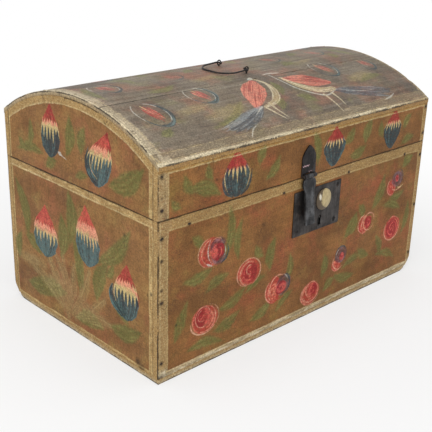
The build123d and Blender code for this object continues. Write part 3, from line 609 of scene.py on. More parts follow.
# %% Tulip
def tulip(face, foot, tall, wide, lean=0.0, red_from=0.6, slate_to=0.44, cup=False, spikes=7,
          light=0.0, pointed=False, seed=0):
    """One tulip, from its foot up, in mm. lean moves its tip sideways, and red_from and
    slate_to are the heights of its two borders, as shares of the whole."""
    reach = wide / 2 + abs(lean)
    low, high = (foot[0] - reach, foot[1]), (foot[0] + reach, foot[1] + tall)
    where = face.near(low, high, 5)
    u, v = face.u[where] - foot[0], face.v[where] - foot[1]
    q = v / tall
    p = u - lean * np.clip(q, 0, 1) ** 2
    foot_part = (0.16, 0.34, 0.62, 0.93, 1.0) if pointed else (0.16, 0.46, 0.82, 1, 0.95)
    heights = (0, 0.05, 0.16, 0.36, 0.54, 0.7, 0.84, 0.94, 1)
    shape = np.interp(q, heights, foot_part + (0.7, 0.38, 0.17, 0.04))
    half = wide / 2 * shape * (1 + 0.1 * (random_field(np.sign(p) * 9, v, 7.0, seed + 2) - 0.5))
    inside = np.minimum(half - np.abs(p), np.minimum(v, tall - v) + 0.6)
    across = np.clip(p / np.maximum(half, 3.0), -1, 1)
    lengths = np.random.default_rng(seed).random((2, spikes + 3))

    def spike(row, shift, sharp):
        at = (across + 1) / 2 * spikes + shift
        return (0.35 + 0.65 * lengths[row, np.clip(at.astype(int), 0, spikes + 2)]) * (
            1 - np.abs(2 * (at % 1) - 1)) ** sharp

    red_edge = red_from + 0.05 - 0.12 * spike(0, 0.0, 1.0)
    slate_edge = slate_to + 0.06 - 0.36 * spike(1, 0.5, 1.8) * (1 - 0.3 * across**2)
    between = np.minimum((red_edge - q) * 0.22, (q - slate_edge) * 0.5) * tall
    for coat, field in (("red", (q - red_edge + 0.04) * tall * 0.22),
                        ("slate", (slate_edge - q + 0.02) * tall * 0.5), ("cream", between)):
        face.lay(coat, where, np.clip(np.minimum(inside, field), FAR_OUT, 4))
    paint = inside > -0.5
    hair = random_field(across * spikes * 2.2 + 25, q * 0.8 + seed, 1.0, seed + 4) - 0.5
    blush = np.clip((q - (slate_to + red_from) / 2) * 5, -0.45, 0.45) * (between > 0)
    face.fields["tone"][where[paint]] = (hair * 0.5 + light + blush)[paint]
    rim = 0.6 - np.abs(half - np.abs(p) - 0.4)
    rim = np.minimum.reduce([rim, (slate_to + 0.1 - q) * tall, v + 0.6])
    face.lay("slate", where, np.clip(rim, FAR_OUT, 2))
    if cup:
        for side in (-1, 1):
            bow = [(foot[0] + side * wide * w, foot[1] + tall * h)
                   for w, h in ((0.16, 0.0), (0.42, 0.12), (0.53, 0.3), (0.56, 0.5))]
            stroke(face, "slate", bow, [1.4, 3.0, 2.6, 0.6], seed)
            inner = [(foot[0] + (x - foot[0]) * 0.88, y + 1.5) for x, y in bow]
            stroke(face, "cream", inner[1:], [0.4, 1.3, 0.5], seed)


# %% [markdown]
# ## Where the boards lie
# Sizes come from the CAD boxes, in millimetres, so that a board always fills the place of its
# node and the paint knows where each edge runs. The dome is part of a cylinder. Its radius,
# the height of its middle line and the thickness of its boards are the CAD's own numbers.

# %% Sizes of the boards
front_low, front_high = (np.array(c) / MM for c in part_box("front_board"))
end_high = np.array(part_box("left_end_board")[1]) / MM
base_high = np.array(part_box("bottom_board")[1]) / MM
HALF_LONG, HALF_DEEP, BOX_TOP = front_high[0], -front_low[1], front_high[2]
SIDE_BOARD, BASE_BOARD, END_HALF = front_high[1] - front_low[1], base_high[2], end_high[1]
LID_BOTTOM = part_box("lid_front_rail")[0].z / MM
DOME_RADIUS, DOME_CENTRE, DOME_BOARD = 251.01, 29.99, 5.0
DOME_EDGE = DOME_RADIUS * math.asin(HALF_DEEP / DOME_RADIUS)
END_ARCH = DOME_RADIUS - DOME_BOARD
SEAM = 46.0  # mm from the ridge to each seam, round the curve
NAIL_X, CORNER_NAILS, LID_NAILS = 221.0, (24.0, 94.0, 164.0), (193.4, 228.0)
RIM_NAILS = [(x, 171.0) for x in (-185.0, -44.4, 70.3, 185.0)]
print("the chest is", round(2 * HALF_LONG, 1), "mm long, and its dome's edge lies",
      round(DOME_EDGE, 1), "mm round the curve from the ridge")

# %% [markdown]
# ## The painting on each face
# Now the painter's work itself. Each face is one function that lists its strokes in
# millimetres. The side and end faces measure across and up, and the dome measures along the
# chest and round the curve, from the ridge down. The right end is painted as the left, the
# back of the box has only its bands, and the back of the dome repeats the buds of the front,
# because the photograph doesn't show those sides. Leaves, spots and stains come first.

# %% Leaves, spots and joints
def add_leaves(face, rows, full=1.3):
    """Leaves bowed to either side by turns: each row is two ends and a width."""
    for k, (x0, z0, x1, z1, wide) in enumerate(rows):
        leaf(face, (x0, z0), (x1, z1), wide * full, 0.1 if k % 2 else -0.1, seed=k)


def spots(face, mark, rows):
    """Soft round marks: each row is x, y, radius and strength."""
    for x, y, radius, strength in rows:
        where = face.near((x, y), (x, y), radius * 2)
        gap = np.hypot(face.u[where] - x, face.v[where] - y)
        face.lay(mark, where, strength * np.clip(1.6 - gap / radius, 0, 1))


def nail_stains(face, heights):
    """Dark wood round the corner nails at both ends of a board."""
    spots(face, "stain_and_shade", [(x * NAIL_X, z, 2.6, 0.8) for x in (-1, 1) for z in heights])


def joint_line(face, wide=1.1):
    """Dirt in the two corner joints of an end."""
    gap = np.minimum(np.abs(face.u + END_HALF), np.abs(face.u - END_HALF))
    patchy = 0.45 + 0.55 * random_field(face.v, face.u, 14.0, 21)
    face.lay("stain_and_shade", face.everywhere(), patchy * np.clip(1.2 - gap / wide, 0, 1))


# %% [markdown]
# ## Front and back of the box
# The front has many slim leaves and nine roses in no strict order. A rose is a coral patch
# with a red heart and perhaps some violet shade, and thin pink rings wound over it.

# %% Front and back
def front_painting(face):
    band(face, left=-212.0, right=215.5, top=169.5, bottom=12.5)
    face.fields["tone"] -= 0.42 * (face.fields["band"] > 0) * (face.v > 14)
    add_leaves(face, [
        (-132, 118, -128, 177, 10), (-113, 112, -109, 158, 9), (-192, 107, -152, 112, 11),
        (-160, 86, -126, 98, 10), (-86, 119, -73, 103, 9), (-61, 82, -55, 121, 12),
        (-140, 58, -98, 75, 11), (-100, 66, -70, 78, 9), (-203, 42, -199, 72, 9),
        (-191, 54, -186, 84, 8), (-147, 35, -108, 47, 12), (-184, 25, -134, 19, 10),
        (-90, 28, -56, 43, 11), (-46, 26, -20, 44, 9), (-32, 58, -27, 94, 9),
        (-180, 154, -166, 138, 9), (34, 44, 37, 74, 10), (40, 24, 60, 35, 10),
        (58, 38, 98, 29, 11), (74, 44, 114, 52, 8), (74, 86, 94, 114, 15),
        (98, 122, 108, 104, 10), (126, 110, 146, 152, 13), (148, 110, 188, 97, 9),
        (162, 116, 192, 121, 8), (143, 43, 184, 29, 9), (196, 58, 205, 104, 9),
        (184, 154, 204, 166, 12), (103, 62, 127, 47, 10), (140, 70, 152, 40, 9)])
    stroke(face, "leaf", [(145, 138), (145, 151)], [3, 6, 2])
    roses(face)
    u, v = face.u, face.v
    face.lay("chalk", face.everywhere(), np.clip((18 - v) / 6, 0, 0.9) + 0.15 * (u < -208))
    edge_line(face, "line", HALF_LONG - 2.4 + u, 0.6, seed=2)
    edge_line(face, "line", v - 11.8, 0.5, seed=3)
    # painted shade: a dark line along the top edge, where the lid sits on the box
    edge_line(face, "stain_and_shade", BOX_TOP - v, 0.7, 0.8, seed=4)
    edge_line(face, "stain_and_shade", v - BASE_BOARD, 0.3, 0.3, seed=5)
    nail_stains(face, CORNER_NAILS)
    spots(face, "stain_and_shade", [(x, z, 2.2, 0.7) for x, z in RIM_NAILS])
    spots(face, "stain_and_shade", [(-221, 140, 1.8, 0.9), (-221, 108, 1.8, 0.9), (-201, 62, 1.4, 0.8),
                          (-182, 150, 1.6, 0.5), (-75, 141, 3.0, 0.35), (-222, 4, 6.0, 0.9)])


def roses(face):
    """Nine roses, each a coral patch with a red heart, violet shade and cream swirls."""
    for seed, (coat, x, z, rx, rz, tilt) in enumerate([
            ("coral", -154, 131, 17, 16, 20), ("violet", -144, 137, 11, 8, 5),
            ("violet", -142, 121, 11, 7, -12), ("red", -144, 129, 9.5, 10, 0),
            ("coral", -95, 90, 17, 16, 0), ("red", -94, 89, 12, 12.5, 0),
            ("coral", -161, 55, 19, 16, -8), ("red", -164, 58, 11.5, 12, 0),
            ("coral", -53, 54, 13, 16, 0), ("violet", -36, 57, 12, 13, -25),
            ("red", -40, 54, 9.5, 8, 0), ("coral", 14, 29, 17, 15, 0), ("red", 18, 33, 8.5, 8.5, 0),
            ("coral", 61, 51, 9, 7, -20), ("violet", 69, 64, 11, 11, 0),
            ("red", 71, 61, 4.5, 5.5, 0), ("coral", 112, 93, 12, 12, 0),
            ("red", 120, 94.5, 7, 8.5, 0), ("coral", 174, 72, 17, 17, 0),
            ("red", 174, 72, 12, 13, 0), ("coral", 163, 131, 9.5, 11, 0),
            ("violet", 175, 140, 11.5, 11, -20), ("red", 174, 141, 3.6, 4.6, 0)]):
        blob(face, coat, (x, z), (rx, rz), tilt, seed)
    for seed, (coat, x, z, rx, rz, start, sweep, wide) in enumerate([
            ("pink", -152, 131, 20, 17.5, 105, 155, 1.1),
            ("pink", -151, 131, 16, 15, 100, 130, 1.2),
            ("coral", -152, 131, 18, 16.5, 100, 150, 1.6), ("pink", -146, 140, 8, 5, 30, 130, 1.1),
            ("slate", -142, 127, 13.5, 13, -75, 110, 1.8),
            ("white", -143, 128, 10.5, 12, -40, 70, 0.8), ("coral", -144, 122, 9, 8, 200, 100, 1.2),
            ("pink", -95, 90, 18.5, 16.5, -70, 330, 1.5), ("pink", -95, 89, 14, 14, 60, 230, 1.2),
            ("pink", -94, 93, 5, 5.5, 55, 230, 1.6), ("coral", -95, 89, 10, 11, 100, 200, 1.4),
            ("pink", -163, 58, 11, 12, 0, 350, 1.2), ("pink", -165, 60, 5.5, 6.5, 95, 220, 1.0),
            ("pink", -160, 55, 15.5, 15.5, -115, 190, 1.3),
            ("pink", -161, 54, 20, 16.5, 178, 140, 1.8),
            ("pink", -160, 55, 20.5, 17, -35, 110, 1.2),
            ("coral", -160, 55, 18, 16, -100, 160, 1.4), ("pink", -45, 56, 14, 15.5, 60, 150, 1.8),
            ("pink", -47, 54, 19.5, 17, 135, 120, 1.5), ("pink", -47, 53, 15, 14, 150, 110, 1.2),
            ("slate", -38, 57, 12.5, 14, -50, 120, 1.8),
            ("white", -40, 58, 11.5, 12.5, 20, 60, 0.8), ("coral", -48, 55, 17, 17, 140, 130, 1.4),
            ("coral", -42, 46, 10, 6, 180, 140, 1.4), ("pink", 14, 30, 15, 13.5, 110, 320, 1.3),
            ("pink", 14, 29, 17.5, 15.5, 150, 190, 1.3), ("pink", 17, 33, 11, 10.5, 60, 200, 1.2),
            ("pink", 14, 28, 12, 10, 190, 120, 1.1), ("slate", 69, 64, 10.5, 11.5, 20, 190, 1.6),
            ("white", 68, 63, 8.5, 10, 100, 90, 0.8), ("pink", 66, 57, 11.5, 11.5, 150, 160, 1.7),
            ("pink", 63, 52, 10, 8, 200, 130, 1.1), ("pink", 121, 95, 11, 11.5, 0, 340, 1.7),
            ("pink", 114, 94, 14.5, 13, 100, 170, 1.3), ("pink", 116, 93, 10, 11, 110, 150, 1.0),
            ("pink", 174, 72, 16.5, 16.5, 150, 230, 1.9), ("pink", 174, 72, 15.5, 16, 20, 110, 0.9),
            ("pink", 174, 138, 14, 13, -130, 95, 1.7), ("pink", 166, 132, 11.5, 12, 120, 150, 1.3),
            ("coral", 167, 131, 8, 10, 120, 130, 1.5),
            ("slate", 176, 141, 11, 11.5, -30, 120, 1.2)]):
        ring(face, coat, (x, z), (rx, rz), start, sweep, wide, seed=seed)
    strokes(face, [
        ("white", [(-155, 145), (-158, 135), (-157, 125), (-152, 117)], [0.5, 1.5, 1.0, 0.5]),
        ("white", [(-160, 119), (-157, 117), (-152, 114.5)], [0.8, 2.6, 1.0]),
        ("cream", [(176, 128.5), (183, 127), (189, 130)], [1.0, 1.8, 0.8])])


def back_painting(face):
    band(face, left=-212.0, right=212.0, top=169.5, bottom=12.5)
    nail_stains(face, CORNER_NAILS)


# %% [markdown]
# ## The ends
# Three tulips stand on the box's end, over a fan of faint tan rays and broad leaves. The
# lid's end has two, and its band follows the arch.

# %% Ends
def end_painting(face):
    band(face, left=-127.5, right=124.0, top=173.0, bottom=10.5)
    add_leaves(face, [
        (-15, 108, -14, 172, 15), (-122, 158, -100, 88, 13), (-32, 88, -30, 140, 15),
        (-8, 120, 2, 58, 11), (36, 104, 94, 158, 14), (34, 58, 56, 110, 15),
        (-104, 30, -46, 52, 17), (-70, 26, -24, 44, 13), (58, 36, 112, 50, 14),
        (-6, 20, 46, 27, 15), (6, 100, 9, 62, 11), (-106, 92, -74, 76, 12), (90, 50, 60, 68, 10),
        (-124, 56, -116, 92, 10), (50, 92, 66, 112, 8)], 1.5)
    for points in ([(-22, 14), (-26, 48), (-30, 90)], [(-24, 22), (-40, 52), (-62, 84)],
                   [(-20, 24), (-12, 52), (-8, 84)], [(-14, 22), (4, 46), (22, 88)],
                   [(-8, 20), (20, 36), (48, 62)], [(-30, 24), (-66, 46), (-112, 64)],
                   [(-16, 30), (-24, 60), (-44, 86)], [(10, 26), (36, 34), (58, 36)]):
        stroke(face, "tan", points, [7, 13, 16, 13, 5], 3, 0.9)
    for x, z, rx, rz in ((-96, 62, 30, 7), (-50, 50, 16, 8), (10, 40, 16, 9), (-24, 44, 9, 14)):
        blob(face, "tan", (x, z), (rx, rz), 4, int(rx), 0.4)
    tulip(face, (-64, 77), 64, 49, 2, 0.60, 0.42, spikes=7, light=0.25, seed=11)
    tulip(face, (20, 94), 70, 44, -3, 0.68, 0.46, spikes=8, light=0.3, seed=12)
    tulip(face, (86, 55), 64, 43, 2, 0.68, 0.46, spikes=7, light=0.1, seed=13)
    strokes(face, [
        ("slate", [(63, 89), (60, 78), (65, 67), (78, 58)], [2, 7, 9, 5], 4, 1.6),
        ("cream", [(69, 90), (66, 80), (69, 71)], [0.5, 1.5, 0.5]),
        ("red", [(99, 100), (106, 88), (105, 74)], [3, 5, 1])])
    spots(face, "stain_and_shade", [(128, 101, 2.0, 0.7), (122, 98, 1.6, 0.5), (106, 13, 4.0, 0.7),
                          (112, 8, 4.0, 0.6), (85, 152, 2.0, 0.5), (-62, 76, 2.5, 0.35)])
    joint_line(face)
    edge_line(face, "line", face.v - 174.2, 0.5, seed=12)
    # painted shade: a dark line along the top edge, where the lid sits on the box
    edge_line(face, "stain_and_shade", BOX_TOP - face.v, 0.8, 0.9, seed=13)
    edge_line(face, "stain_and_shade", face.v - BASE_BOARD, 0.3, 0.4, seed=14)


ABOVE_ALL = 1000.0  # the lid's end has no straight band on top


def lid_end_painting(face):
    band(face, left=-127.5, right=124.0, top=ABOVE_ALL)
    from_arch = END_ARCH - np.hypot(face.u, face.v - DOME_CENTRE)
    wave = 1.2 * (random_field(face.u, face.v, 20.0, 5) - 0.5)
    face.lay("band", face.everywhere(), np.clip(8.6 - from_arch + wave, FAR_OUT, 9))
    add_leaves(face, [
        (-14, 212, -8, 257, 14), (13, 220, 20, 250, 12), (60, 198, 116, 229, 19),
        (-114, 197, -60, 203, 10), (-88, 206, -84, 238, 9), (-54, 189, -34, 201, 11),
        (-110, 212, -92, 200, 8), (2, 192, 24, 198, 8)])
    tulip(face, (-45, 203), 60, 37, 2, 0.66, 0.5, spikes=6, seed=15)
    tulip(face, (40, 192), 61, 43, 19, 0.7, 0.5, spikes=8, light=0.2, seed=16)
    strokes(face, [
        ("slate", [(38, 194), (25, 203), (21, 216), (26, 231)], [2, 4.5, 4, 1]),
        ("cream", [(40, 200), (31, 207), (28, 217), (31, 229)], [0.5, 1.2, 1.2, 0.6]),
        ("red", [(58, 252), (62, 238), (61, 226)], [2.5, 6, 2])])
    blob(face, "white", (-27, 211), (3.5, 2.2), -15, 2)
    stroke(face, "white", [(-25, 210), (-14, 207)], [1.6, 0.6])
    joint_line(face, 1.8)
    # painted shade: a dark line along the bottom edge, where the lid sits on the box
    edge_line(face, "stain_and_shade", face.v - LID_BOTTOM, 0.8, 1.0, seed=15)
    edge_line(face, "line", from_arch - 8.4, 0.45, seed=16)
    open_joint = np.where((face.u > -15) & (face.u < 46), from_arch - 0.3, 9.0)
    edge_line(face, "stain_and_shade", open_joint, 1.5, 1.0, seed=17)
    for points in ([(-56, 262), (-55, 267), (-57, 271)], [(51, 268), (55, 263), (62, 257)],
                   [(56, 262), (61, 267)]):
        stroke(face, "stain_and_shade", points, [0.6, 2.2, 0.8], 0, 0.1)


# %% [markdown]
# ## The lid's rails
# The front rail has three tulips, the first of them in a slate cup. Its top, above the cream
# band, is ochre. The back rail has its bands only.

# %% Lid front and back
def lid_front_painting(face):
    band(face, left=-212.0, right=215.5, top=229.0)
    face.fields["tone"] -= 0.25 * (face.fields["band"] > 0)
    face.fields["tone"][face.v > 233.5] -= 0.35
    face.lay("ochre", face.everywhere(), np.clip(face.v - 231.0, FAR_OUT, 3))
    add_leaves(face, [
        (-192, 222, -180, 202, 9), (-186, 207, -142, 192, 13), (-161, 229, -154, 210, 8),
        (-86, 212, -77, 233, 10), (-74, 194, -54, 216, 10), (2, 233, 10, 193, 10),
        (70, 191, 100, 199, 11), (98, 203, 108, 230, 13), (58, 208, 74, 226, 11),
        (174, 187, 200, 193, 9), (127, 224, 133, 203, 9), (176, 206, 190, 224, 9),
        (-208, 200, -196, 190, 7)])
    tulip(face, (-119, 185), 51, 38, -2, 0.58, 0.56, cup=True, spikes=6, seed=21)
    tulip(face, (39, 186), 47, 39, 1, 0.62, 0.58, spikes=7, pointed=True, seed=22)
    tulip(face, (151, 186), 49, 36, 4, 0.66, 0.58, spikes=7, pointed=True, seed=23)
    edge_line(face, "line", face.v - 229.6, 0.3, seed=24)
    # painted shade: a dark line along the bottom edge, where the lid sits on the box
    edge_line(face, "stain_and_shade", face.v - LID_BOTTOM, 0.7, 0.9, seed=25)
    edge_line(face, "stain_and_shade", face.v - 233.2, 0.6, 0.8, seed=26)
    edge_line(face, "stain_and_shade", face.u + 217.0, 0.5, 0.5, seed=27)
    face.lay("chalk", face.everywhere(), 0.35 * (face.u < -208))
    nail_stains(face, LID_NAILS)
    spots(face, "stain_and_shade", [(-221, 206, 1.6, 0.5), (-148, 209, 1.3, 0.6), (-216, 186, 3.0, 0.4)])


def lid_back_painting(face):
    band(face, left=-212.0, right=212.0, top=229.0)
    nail_stains(face, LID_NAILS)


# %% [markdown]
# ## Buds and birds
# On the dome each bud lies in an outline of white and slate strokes. The two birds face each
# other: coral breasts, cream backs and legs, and slate tails that spread like fans.

# %% Buds and birds
def bud(face, x, s, wide, tall, strength=1.0, turn=0, seed=0):
    """An outlined bud: pale side strokes, slate shade round its foot and a coral heart."""
    outline = [("slate", 0.46, -120, 160, 6.0), ("slate", 0.48, 185, 60, 2.0)]
    if strength > 0.6:
        outline += [("white", 0.5, 118, 75, 1.6), ("white", 0.42, 20, 50, 1.8),
                    ("white", 0.42, -62, 60, 1.4)]
    for coat, share, start, sweep, width in outline:
        ring(face, coat, (x, s), (wide * share, tall * share), start, sweep, width * strength,
             turn, seed)
    for k in (-1, 0, 1):
        high, low = s + tall * (0.3 - 0.06 * abs(k)), s - tall * (0.32 - 0.08 * abs(k))
        path = [(x + 4.0 * k - 2, high), (x + 4.4 * k, s), (x + 3.6 * k + 3, low)]
        stroke(face, "coral", path, [1.0, 4.6 * strength, 3.6 * strength, 0.8], seed + k, 1.6)
    stroke(face, "cream", [(x - 4, s + tall * 0.34), (x - 2, s + tall * 0.12)],
           [1.2, 2.0 * strength, 0.4])


def fan_tail(face, root, tips, seed):
    """A bird's tail: slate feathers that spread from its root."""
    for k, (x, s, wide) in enumerate(tips):
        middle = ((root[0] + x) / 2, (root[1] + s) / 2 - 1.0)
        stroke(face, "mist", [root, middle, (x, s)], [3, wide * 1.3, wide * 1.4, wide, 0.6],
               seed + k, 1.9)


def legs(face, ends, knee):
    """Thin cream legs, bent to one side at the knee."""
    for (x0, s0), (x1, s1) in ends:
        stroke(face, "line", [(x0, s0), ((x0 + x1) / 2 + knee, (s0 + s1) / 2), (x1, s1)],
               [3.6, 2.5, 2.0, 1.0])


def birds(face):
    """A pair of birds: coral breasts, cream backs and legs, slate tails."""
    tone = face.fields["tone"]
    fan_tail(face, (-44, -102), [(-121, -121, 6), (-118, -125, 8), (-108, -130, 9),
                                 (-94, -131, 8), (-80, -127, 6)], 3)
    stroke(face, "mist", [(-46, -102), (-78, -115), (-110, -124)], [4, 13, 19, 14, 5], 5, 1.6)
    tone[(face.fields["mist"] > -0.5) & (face.u < 0)] += 0.32
    strokes(face, [
        ("white", [(-44, -102), (-52, -106), (-62, -112)], [2.4, 2.0, 0.6]),
        ("white", [(-74, -126), (-84, -131), (-93, -140)], [0.8, 1.8, 0.8]),
        ("white", [(-122, -121), (-110, -118), (-96, -114)], [0.4, 1.0, 0.3]),
        ("line", [(-10, -44), (-1, -54), (1, -68), (-6, -86), (-20, -98), (-40, -103)],
         [1.4, 3.4, 5.6, 8.6, 10, 7, 3.6], 0, 1.6),
        ("coral", [(-51, -100), (-38, -82), (-24, -67), (-12, -53)], [8, 24, 31, 27, 10], 4, 1.9)])
    legs(face, [((-40, -103), (-27, -128)), ((-30, -99), (-23, -126))], -1)
    blob(face, "white", (-9, -45), (5, 3), 30, 3)
    fan_tail(face, (80, -99), [(168, -114, 7), (174, -119, 9), (172, -125, 9), (160, -130, 7),
                               (140, -124, 6)], 11)
    strokes(face, [
        ("mist", [(84, -100), (126, -113), (166, -122)], [4, 9, 13, 12, 5], 6, 1.6),
        ("white", [(98, -106), (126, -112), (146, -114)], [0.4, 1.2, 0.4]),
        ("white", [(146, -134), (158, -132), (172, -127)], [0.8, 2.6, 0.8]),
        ("line", [(32, -56), (40, -78), (60, -94), (84, -97)], [5, 10, 11, 8], 6, 2.2),
        ("white", [(24, -44), (26, -60), (32, -82), (47, -98), (64, -106), (80, -102)],
         [1.4, 2.2, 2.4, 2.4, 2.6, 1]),
        ("coral", [(36, -60), (52, -66), (70, -75), (90, -84)], [8, 20, 28, 23, 7], 7, 1.9)])
    near_birds = (np.abs(face.u - 20) < 75) & (face.v > -138) & (face.v < -42)
    tone[near_birds & (face.fields["coral"] > -0.5) & (face.v > -104)] += 0.35
    legs(face, [((60, -104), (63, -135)), ((74, -104), (76, -127))], 1)
    stroke(face, "white", [(16, -41), (28, -40), (42, -43)], [0.8, 3.4, 1.6])
    stroke(face, "stain_and_shade", [(46, -48), (60, -49), (74, -46)], [0.4, 1.2, 0.4])
    tone[near_birds & (face.fields["line"] > -0.5)] += 0.35


# %% [markdown]
# ## The dome
# The band along the dome's front edge is rubbed to a worn pale line on the very edge, and the
# board darkens to the right. Two seams part its three boards, and one board is cracked.

# %% Dome
def fine_crack(face, points, strength):
    """A crack in one board: a thin dark line that wanders a little."""
    lines = Face(face.u, face.v + 1.2 * (random_field(face.u, face.u * 0, 9.0, 3) - 0.5))
    stroke(lines, "tone", points, [0.6, 1.6, 0.6])
    face.lay("stain_and_shade", face.everywhere(), strength * np.clip(lines.fields["tone"] + 0.4, 0, 1)
             * (lines.fields["tone"] > -0.4) * (np.abs(lines.fields["tone"]) > 1e-9))


def dome_painting(face):
    """The whole dome. The second measure runs round the curve: 0 at the ridge, minus in front."""
    band(face, left=-213.0, right=221.0, top=134.0, bottom=-132.5)
    tone, in_band = face.fields["tone"], face.v < -132
    tone *= np.where(in_band, 1.5, 0.4)
    tone -= 0.5 * np.clip((face.u - 120) / 60, 0, 1) * (face.v < 0)
    tone += 0.4 * (face.u < -206) + 0.85 * (face.v < 3 - DOME_EDGE) - 0.42 * in_band
    add_leaves(face, [
        (-196, -112, -178, -104, 9), (-150, 44, -140, 4, 12), (-112, 30, -96, 50, 12),
        (-20, -112, -4, -96, 10), (-150, -34, -108, -24, 9), (10, -60, 2, -90, 10),
        (42, -112, 20, -96, 10), (72, -26, 96, -18, 10), (120, 8, 140, 30, 10),
        (140, -96, 190, -90, 9), (168, -30, 176, -10, 10), (30, 20, 44, 44, 11),
        (-60, 10, -40, 34, 10), (-205, -30, -200, 20, 9), (-130, -118, -60, -84, 8),
        (206, -30, 200, 24, 9), (-180, 70, -150, 92, 12), (-70, 70, -40, 100, 12),
        (50, 80, 76, 112, 12), (140, 70, 170, 100, 12)])
    for x, s, r in ((-95, -98, 30), (-130, -82, 22), (150, -84, 24), (-60, -22, 18),
                    (110, -22, 16)):
        blob(face, "tan", (x, s), (r, r * 0.3), 10, int(r), 0.3)
    for k, row in enumerate([(-179, -76, 38, 52, 1.0, 12), (-99, -59, 36, 42, 0.95, 12),
                             (-182, 2, 34, 42, 0.7, 8), (-88, 4, 30, 34, 0.4),
                             (116, -53, 36, 46, 0.75), (191, -60, 26, 36, 0.6),
                             (76, 8, 36, 36, 0.45), (160, 6, 34, 36, 0.45), (-150, 62, 36, 44, 0.7),
                             (-60, 92, 36, 44, 0.8), (30, 84, 36, 44, 0.7), (118, 96, 36, 44, 0.8),
                             (186, 60, 34, 42, 0.7)]):
        bud(face, *row, seed=30 + k)
    birds(face)
    fine_crack(face, [(-212, -58), (-170, -59), (-115, -58)], 0.8)
    fine_crack(face, [(-200, -38), (-120, -40)], 0.35)
    gap = np.minimum(np.abs(face.v + SEAM), np.abs(face.v - SEAM))
    open_part = np.interp(face.u, (-225, -212, -160, -70, -55, 40, 48, 76, 90, 134, 152, 225),
                          (0.9, 0.9, 1, 0.8, 0.12, 0.1, 0.8, 0.8, 0.12, 0.6, 0.1, 0.3))
    face.lay("stain_and_shade", face.everywhere(), open_part * np.clip(1.15 - gap / 1.2, 0, 1))
    face.lay("chalk", face.everywhere(), 0.85)
    for k, (gap, wide) in enumerate(((0.8, 1.5), (4.5, 0.35))):
        edge_line(face, "line", HALF_LONG - gap - np.abs(face.u), wide, seed=50 + k)
        edge_line(face, "line", DOME_EDGE - gap - np.abs(face.v), wide, seed=53 + k)


# %% [markdown]
# ## Boards with worn edges
# A thin board is a slab: a dense grid on its painted side, four narrow walls and a plain back.
# The grid bends down at its edges, so every edge is rounded, unevenly as wear is, and here
# and there a chip is missing. One function makes all twelve boards. What differs is the place
# function, which says where a point of the face lies in the chest: flat for a side, under an
# arch for a lid end, round a curve for the dome. The back uses far fewer points than the
# front, so the walls are closed with fans of triangles from the dense edge to the coarse one.

# %% Grids and walls
ROUND_STEPS = 5  # cells round a worn edge


def grid_lines(low, high, step, radii):
    """Lines from low to high, one every step, and closer inside the two rounded edges."""
    turns = [k * math.pi / (2 * ROUND_STEPS) for k in range(ROUND_STEPS + 1)]
    first = [low + radii[0] * (1 - math.cos(turn)) for turn in turns]
    last = [high - radii[1] * (1 - math.cos(turn)) for turn in turns]
    inner = np.linspace(low + radii[0], high - radii[1], max(3, int((high - low) / step)))
    return np.unique(np.round(np.concatenate([first, inner, last]), 4))


def coarse_steps(lines, step, kept=(), rim=1.2):
    """Positions in lines for the back's grid, with a narrow cell along each edge."""
    wanted = np.concatenate([[lines[0], lines[0] + rim],
                             np.arange(lines[0] + step, lines[-1] - step / 2, step),
                             [lines[-1] - rim, lines[-1]], kept])
    return np.unique([int(np.abs(lines - w).argmin()) for w in wanted])


def around(grid):
    """The outermost numbers of a grid, in order, once round."""
    return np.concatenate([grid[:, 0], grid[-1, 1:], grid[-2::-1, -1], grid[0, -2:0:-1]])


def close_wall(loop, ring, coarse_loop, rear_of):
    """Triangles from a dense ring to a coarse one. Both follow the same grid numbers."""
    where = {int(p): k for k, p in enumerate(loop)}
    threes = []
    for here, there in zip(coarse_loop, np.roll(coarse_loop, -1)):
        a, b = where[int(here)], where[int(there)]
        b = b if b > a else b + len(loop)
        middle = (a + b) // 2
        ra, rb = rear_of[int(here)], rear_of[int(there)]
        for k in range(a, b):
            threes.append((ring[(k + 1) % len(loop)], ring[k % len(loop)],
                           ra if k < middle else rb))
        threes.append((ring[middle % len(loop)], ra, rb))
    return threes


def mesh_from(name, points, quads, threes, fields):
    """A mesh from arrays, with every field stored on its points and its faces turned outwards."""
    corners = [quads.reshape(-1, 4)[:, :3], quads.reshape(-1, 4)[:, [0, 2, 3]],
               threes.reshape(-1, 3)]
    a, b, c = (points[np.vstack(corners)[:, k]] for k in range(3))
    if np.einsum("ij,ij->i", a, np.cross(b, c)).sum() < 0:
        quads, threes = quads[:, ::-1], threes[:, ::-1]
    mesh = bpy.data.meshes.new(name)
    mesh.vertices.add(len(points))
    mesh.vertices.foreach_set("co", (points * MM).ravel())
    loops = np.concatenate([quads.ravel(), threes.ravel()]).astype(np.int32)
    starts = np.concatenate([np.arange(len(quads)) * 4,
                             len(quads) * 4 + np.arange(len(threes)) * 3])
    mesh.loops.add(len(loops))
    mesh.loops.foreach_set("vertex_index", loops)
    mesh.polygons.add(len(starts))
    mesh.polygons.foreach_set("loop_start", starts.astype(np.int32))
    mesh.update(calc_edges=True)
    for mark, values in fields.items():
        data = mesh.attributes.new(mark, "FLOAT", "POINT").data
        data.foreach_set("value", values.astype(np.float32))
    mesh.shade_smooth()
    mesh.set_sharp_from_angle(angle=math.radians(40))
    return mesh


# %% [markdown]
# ## Wear, walls and the back
# Wear rounds an edge by an uneven radius, takes small chips out of it and rubs the paint
# off. The walls and the back carry the same fields as the face, only plainer: a wall has one
# tone and some stain, and everything that was never painted is bare.

# %% Wear, walls and the back
PLAIN_WALL = (0.0, 0.0, 0.25, 0.0)  # tone, chalk, stain and ochre


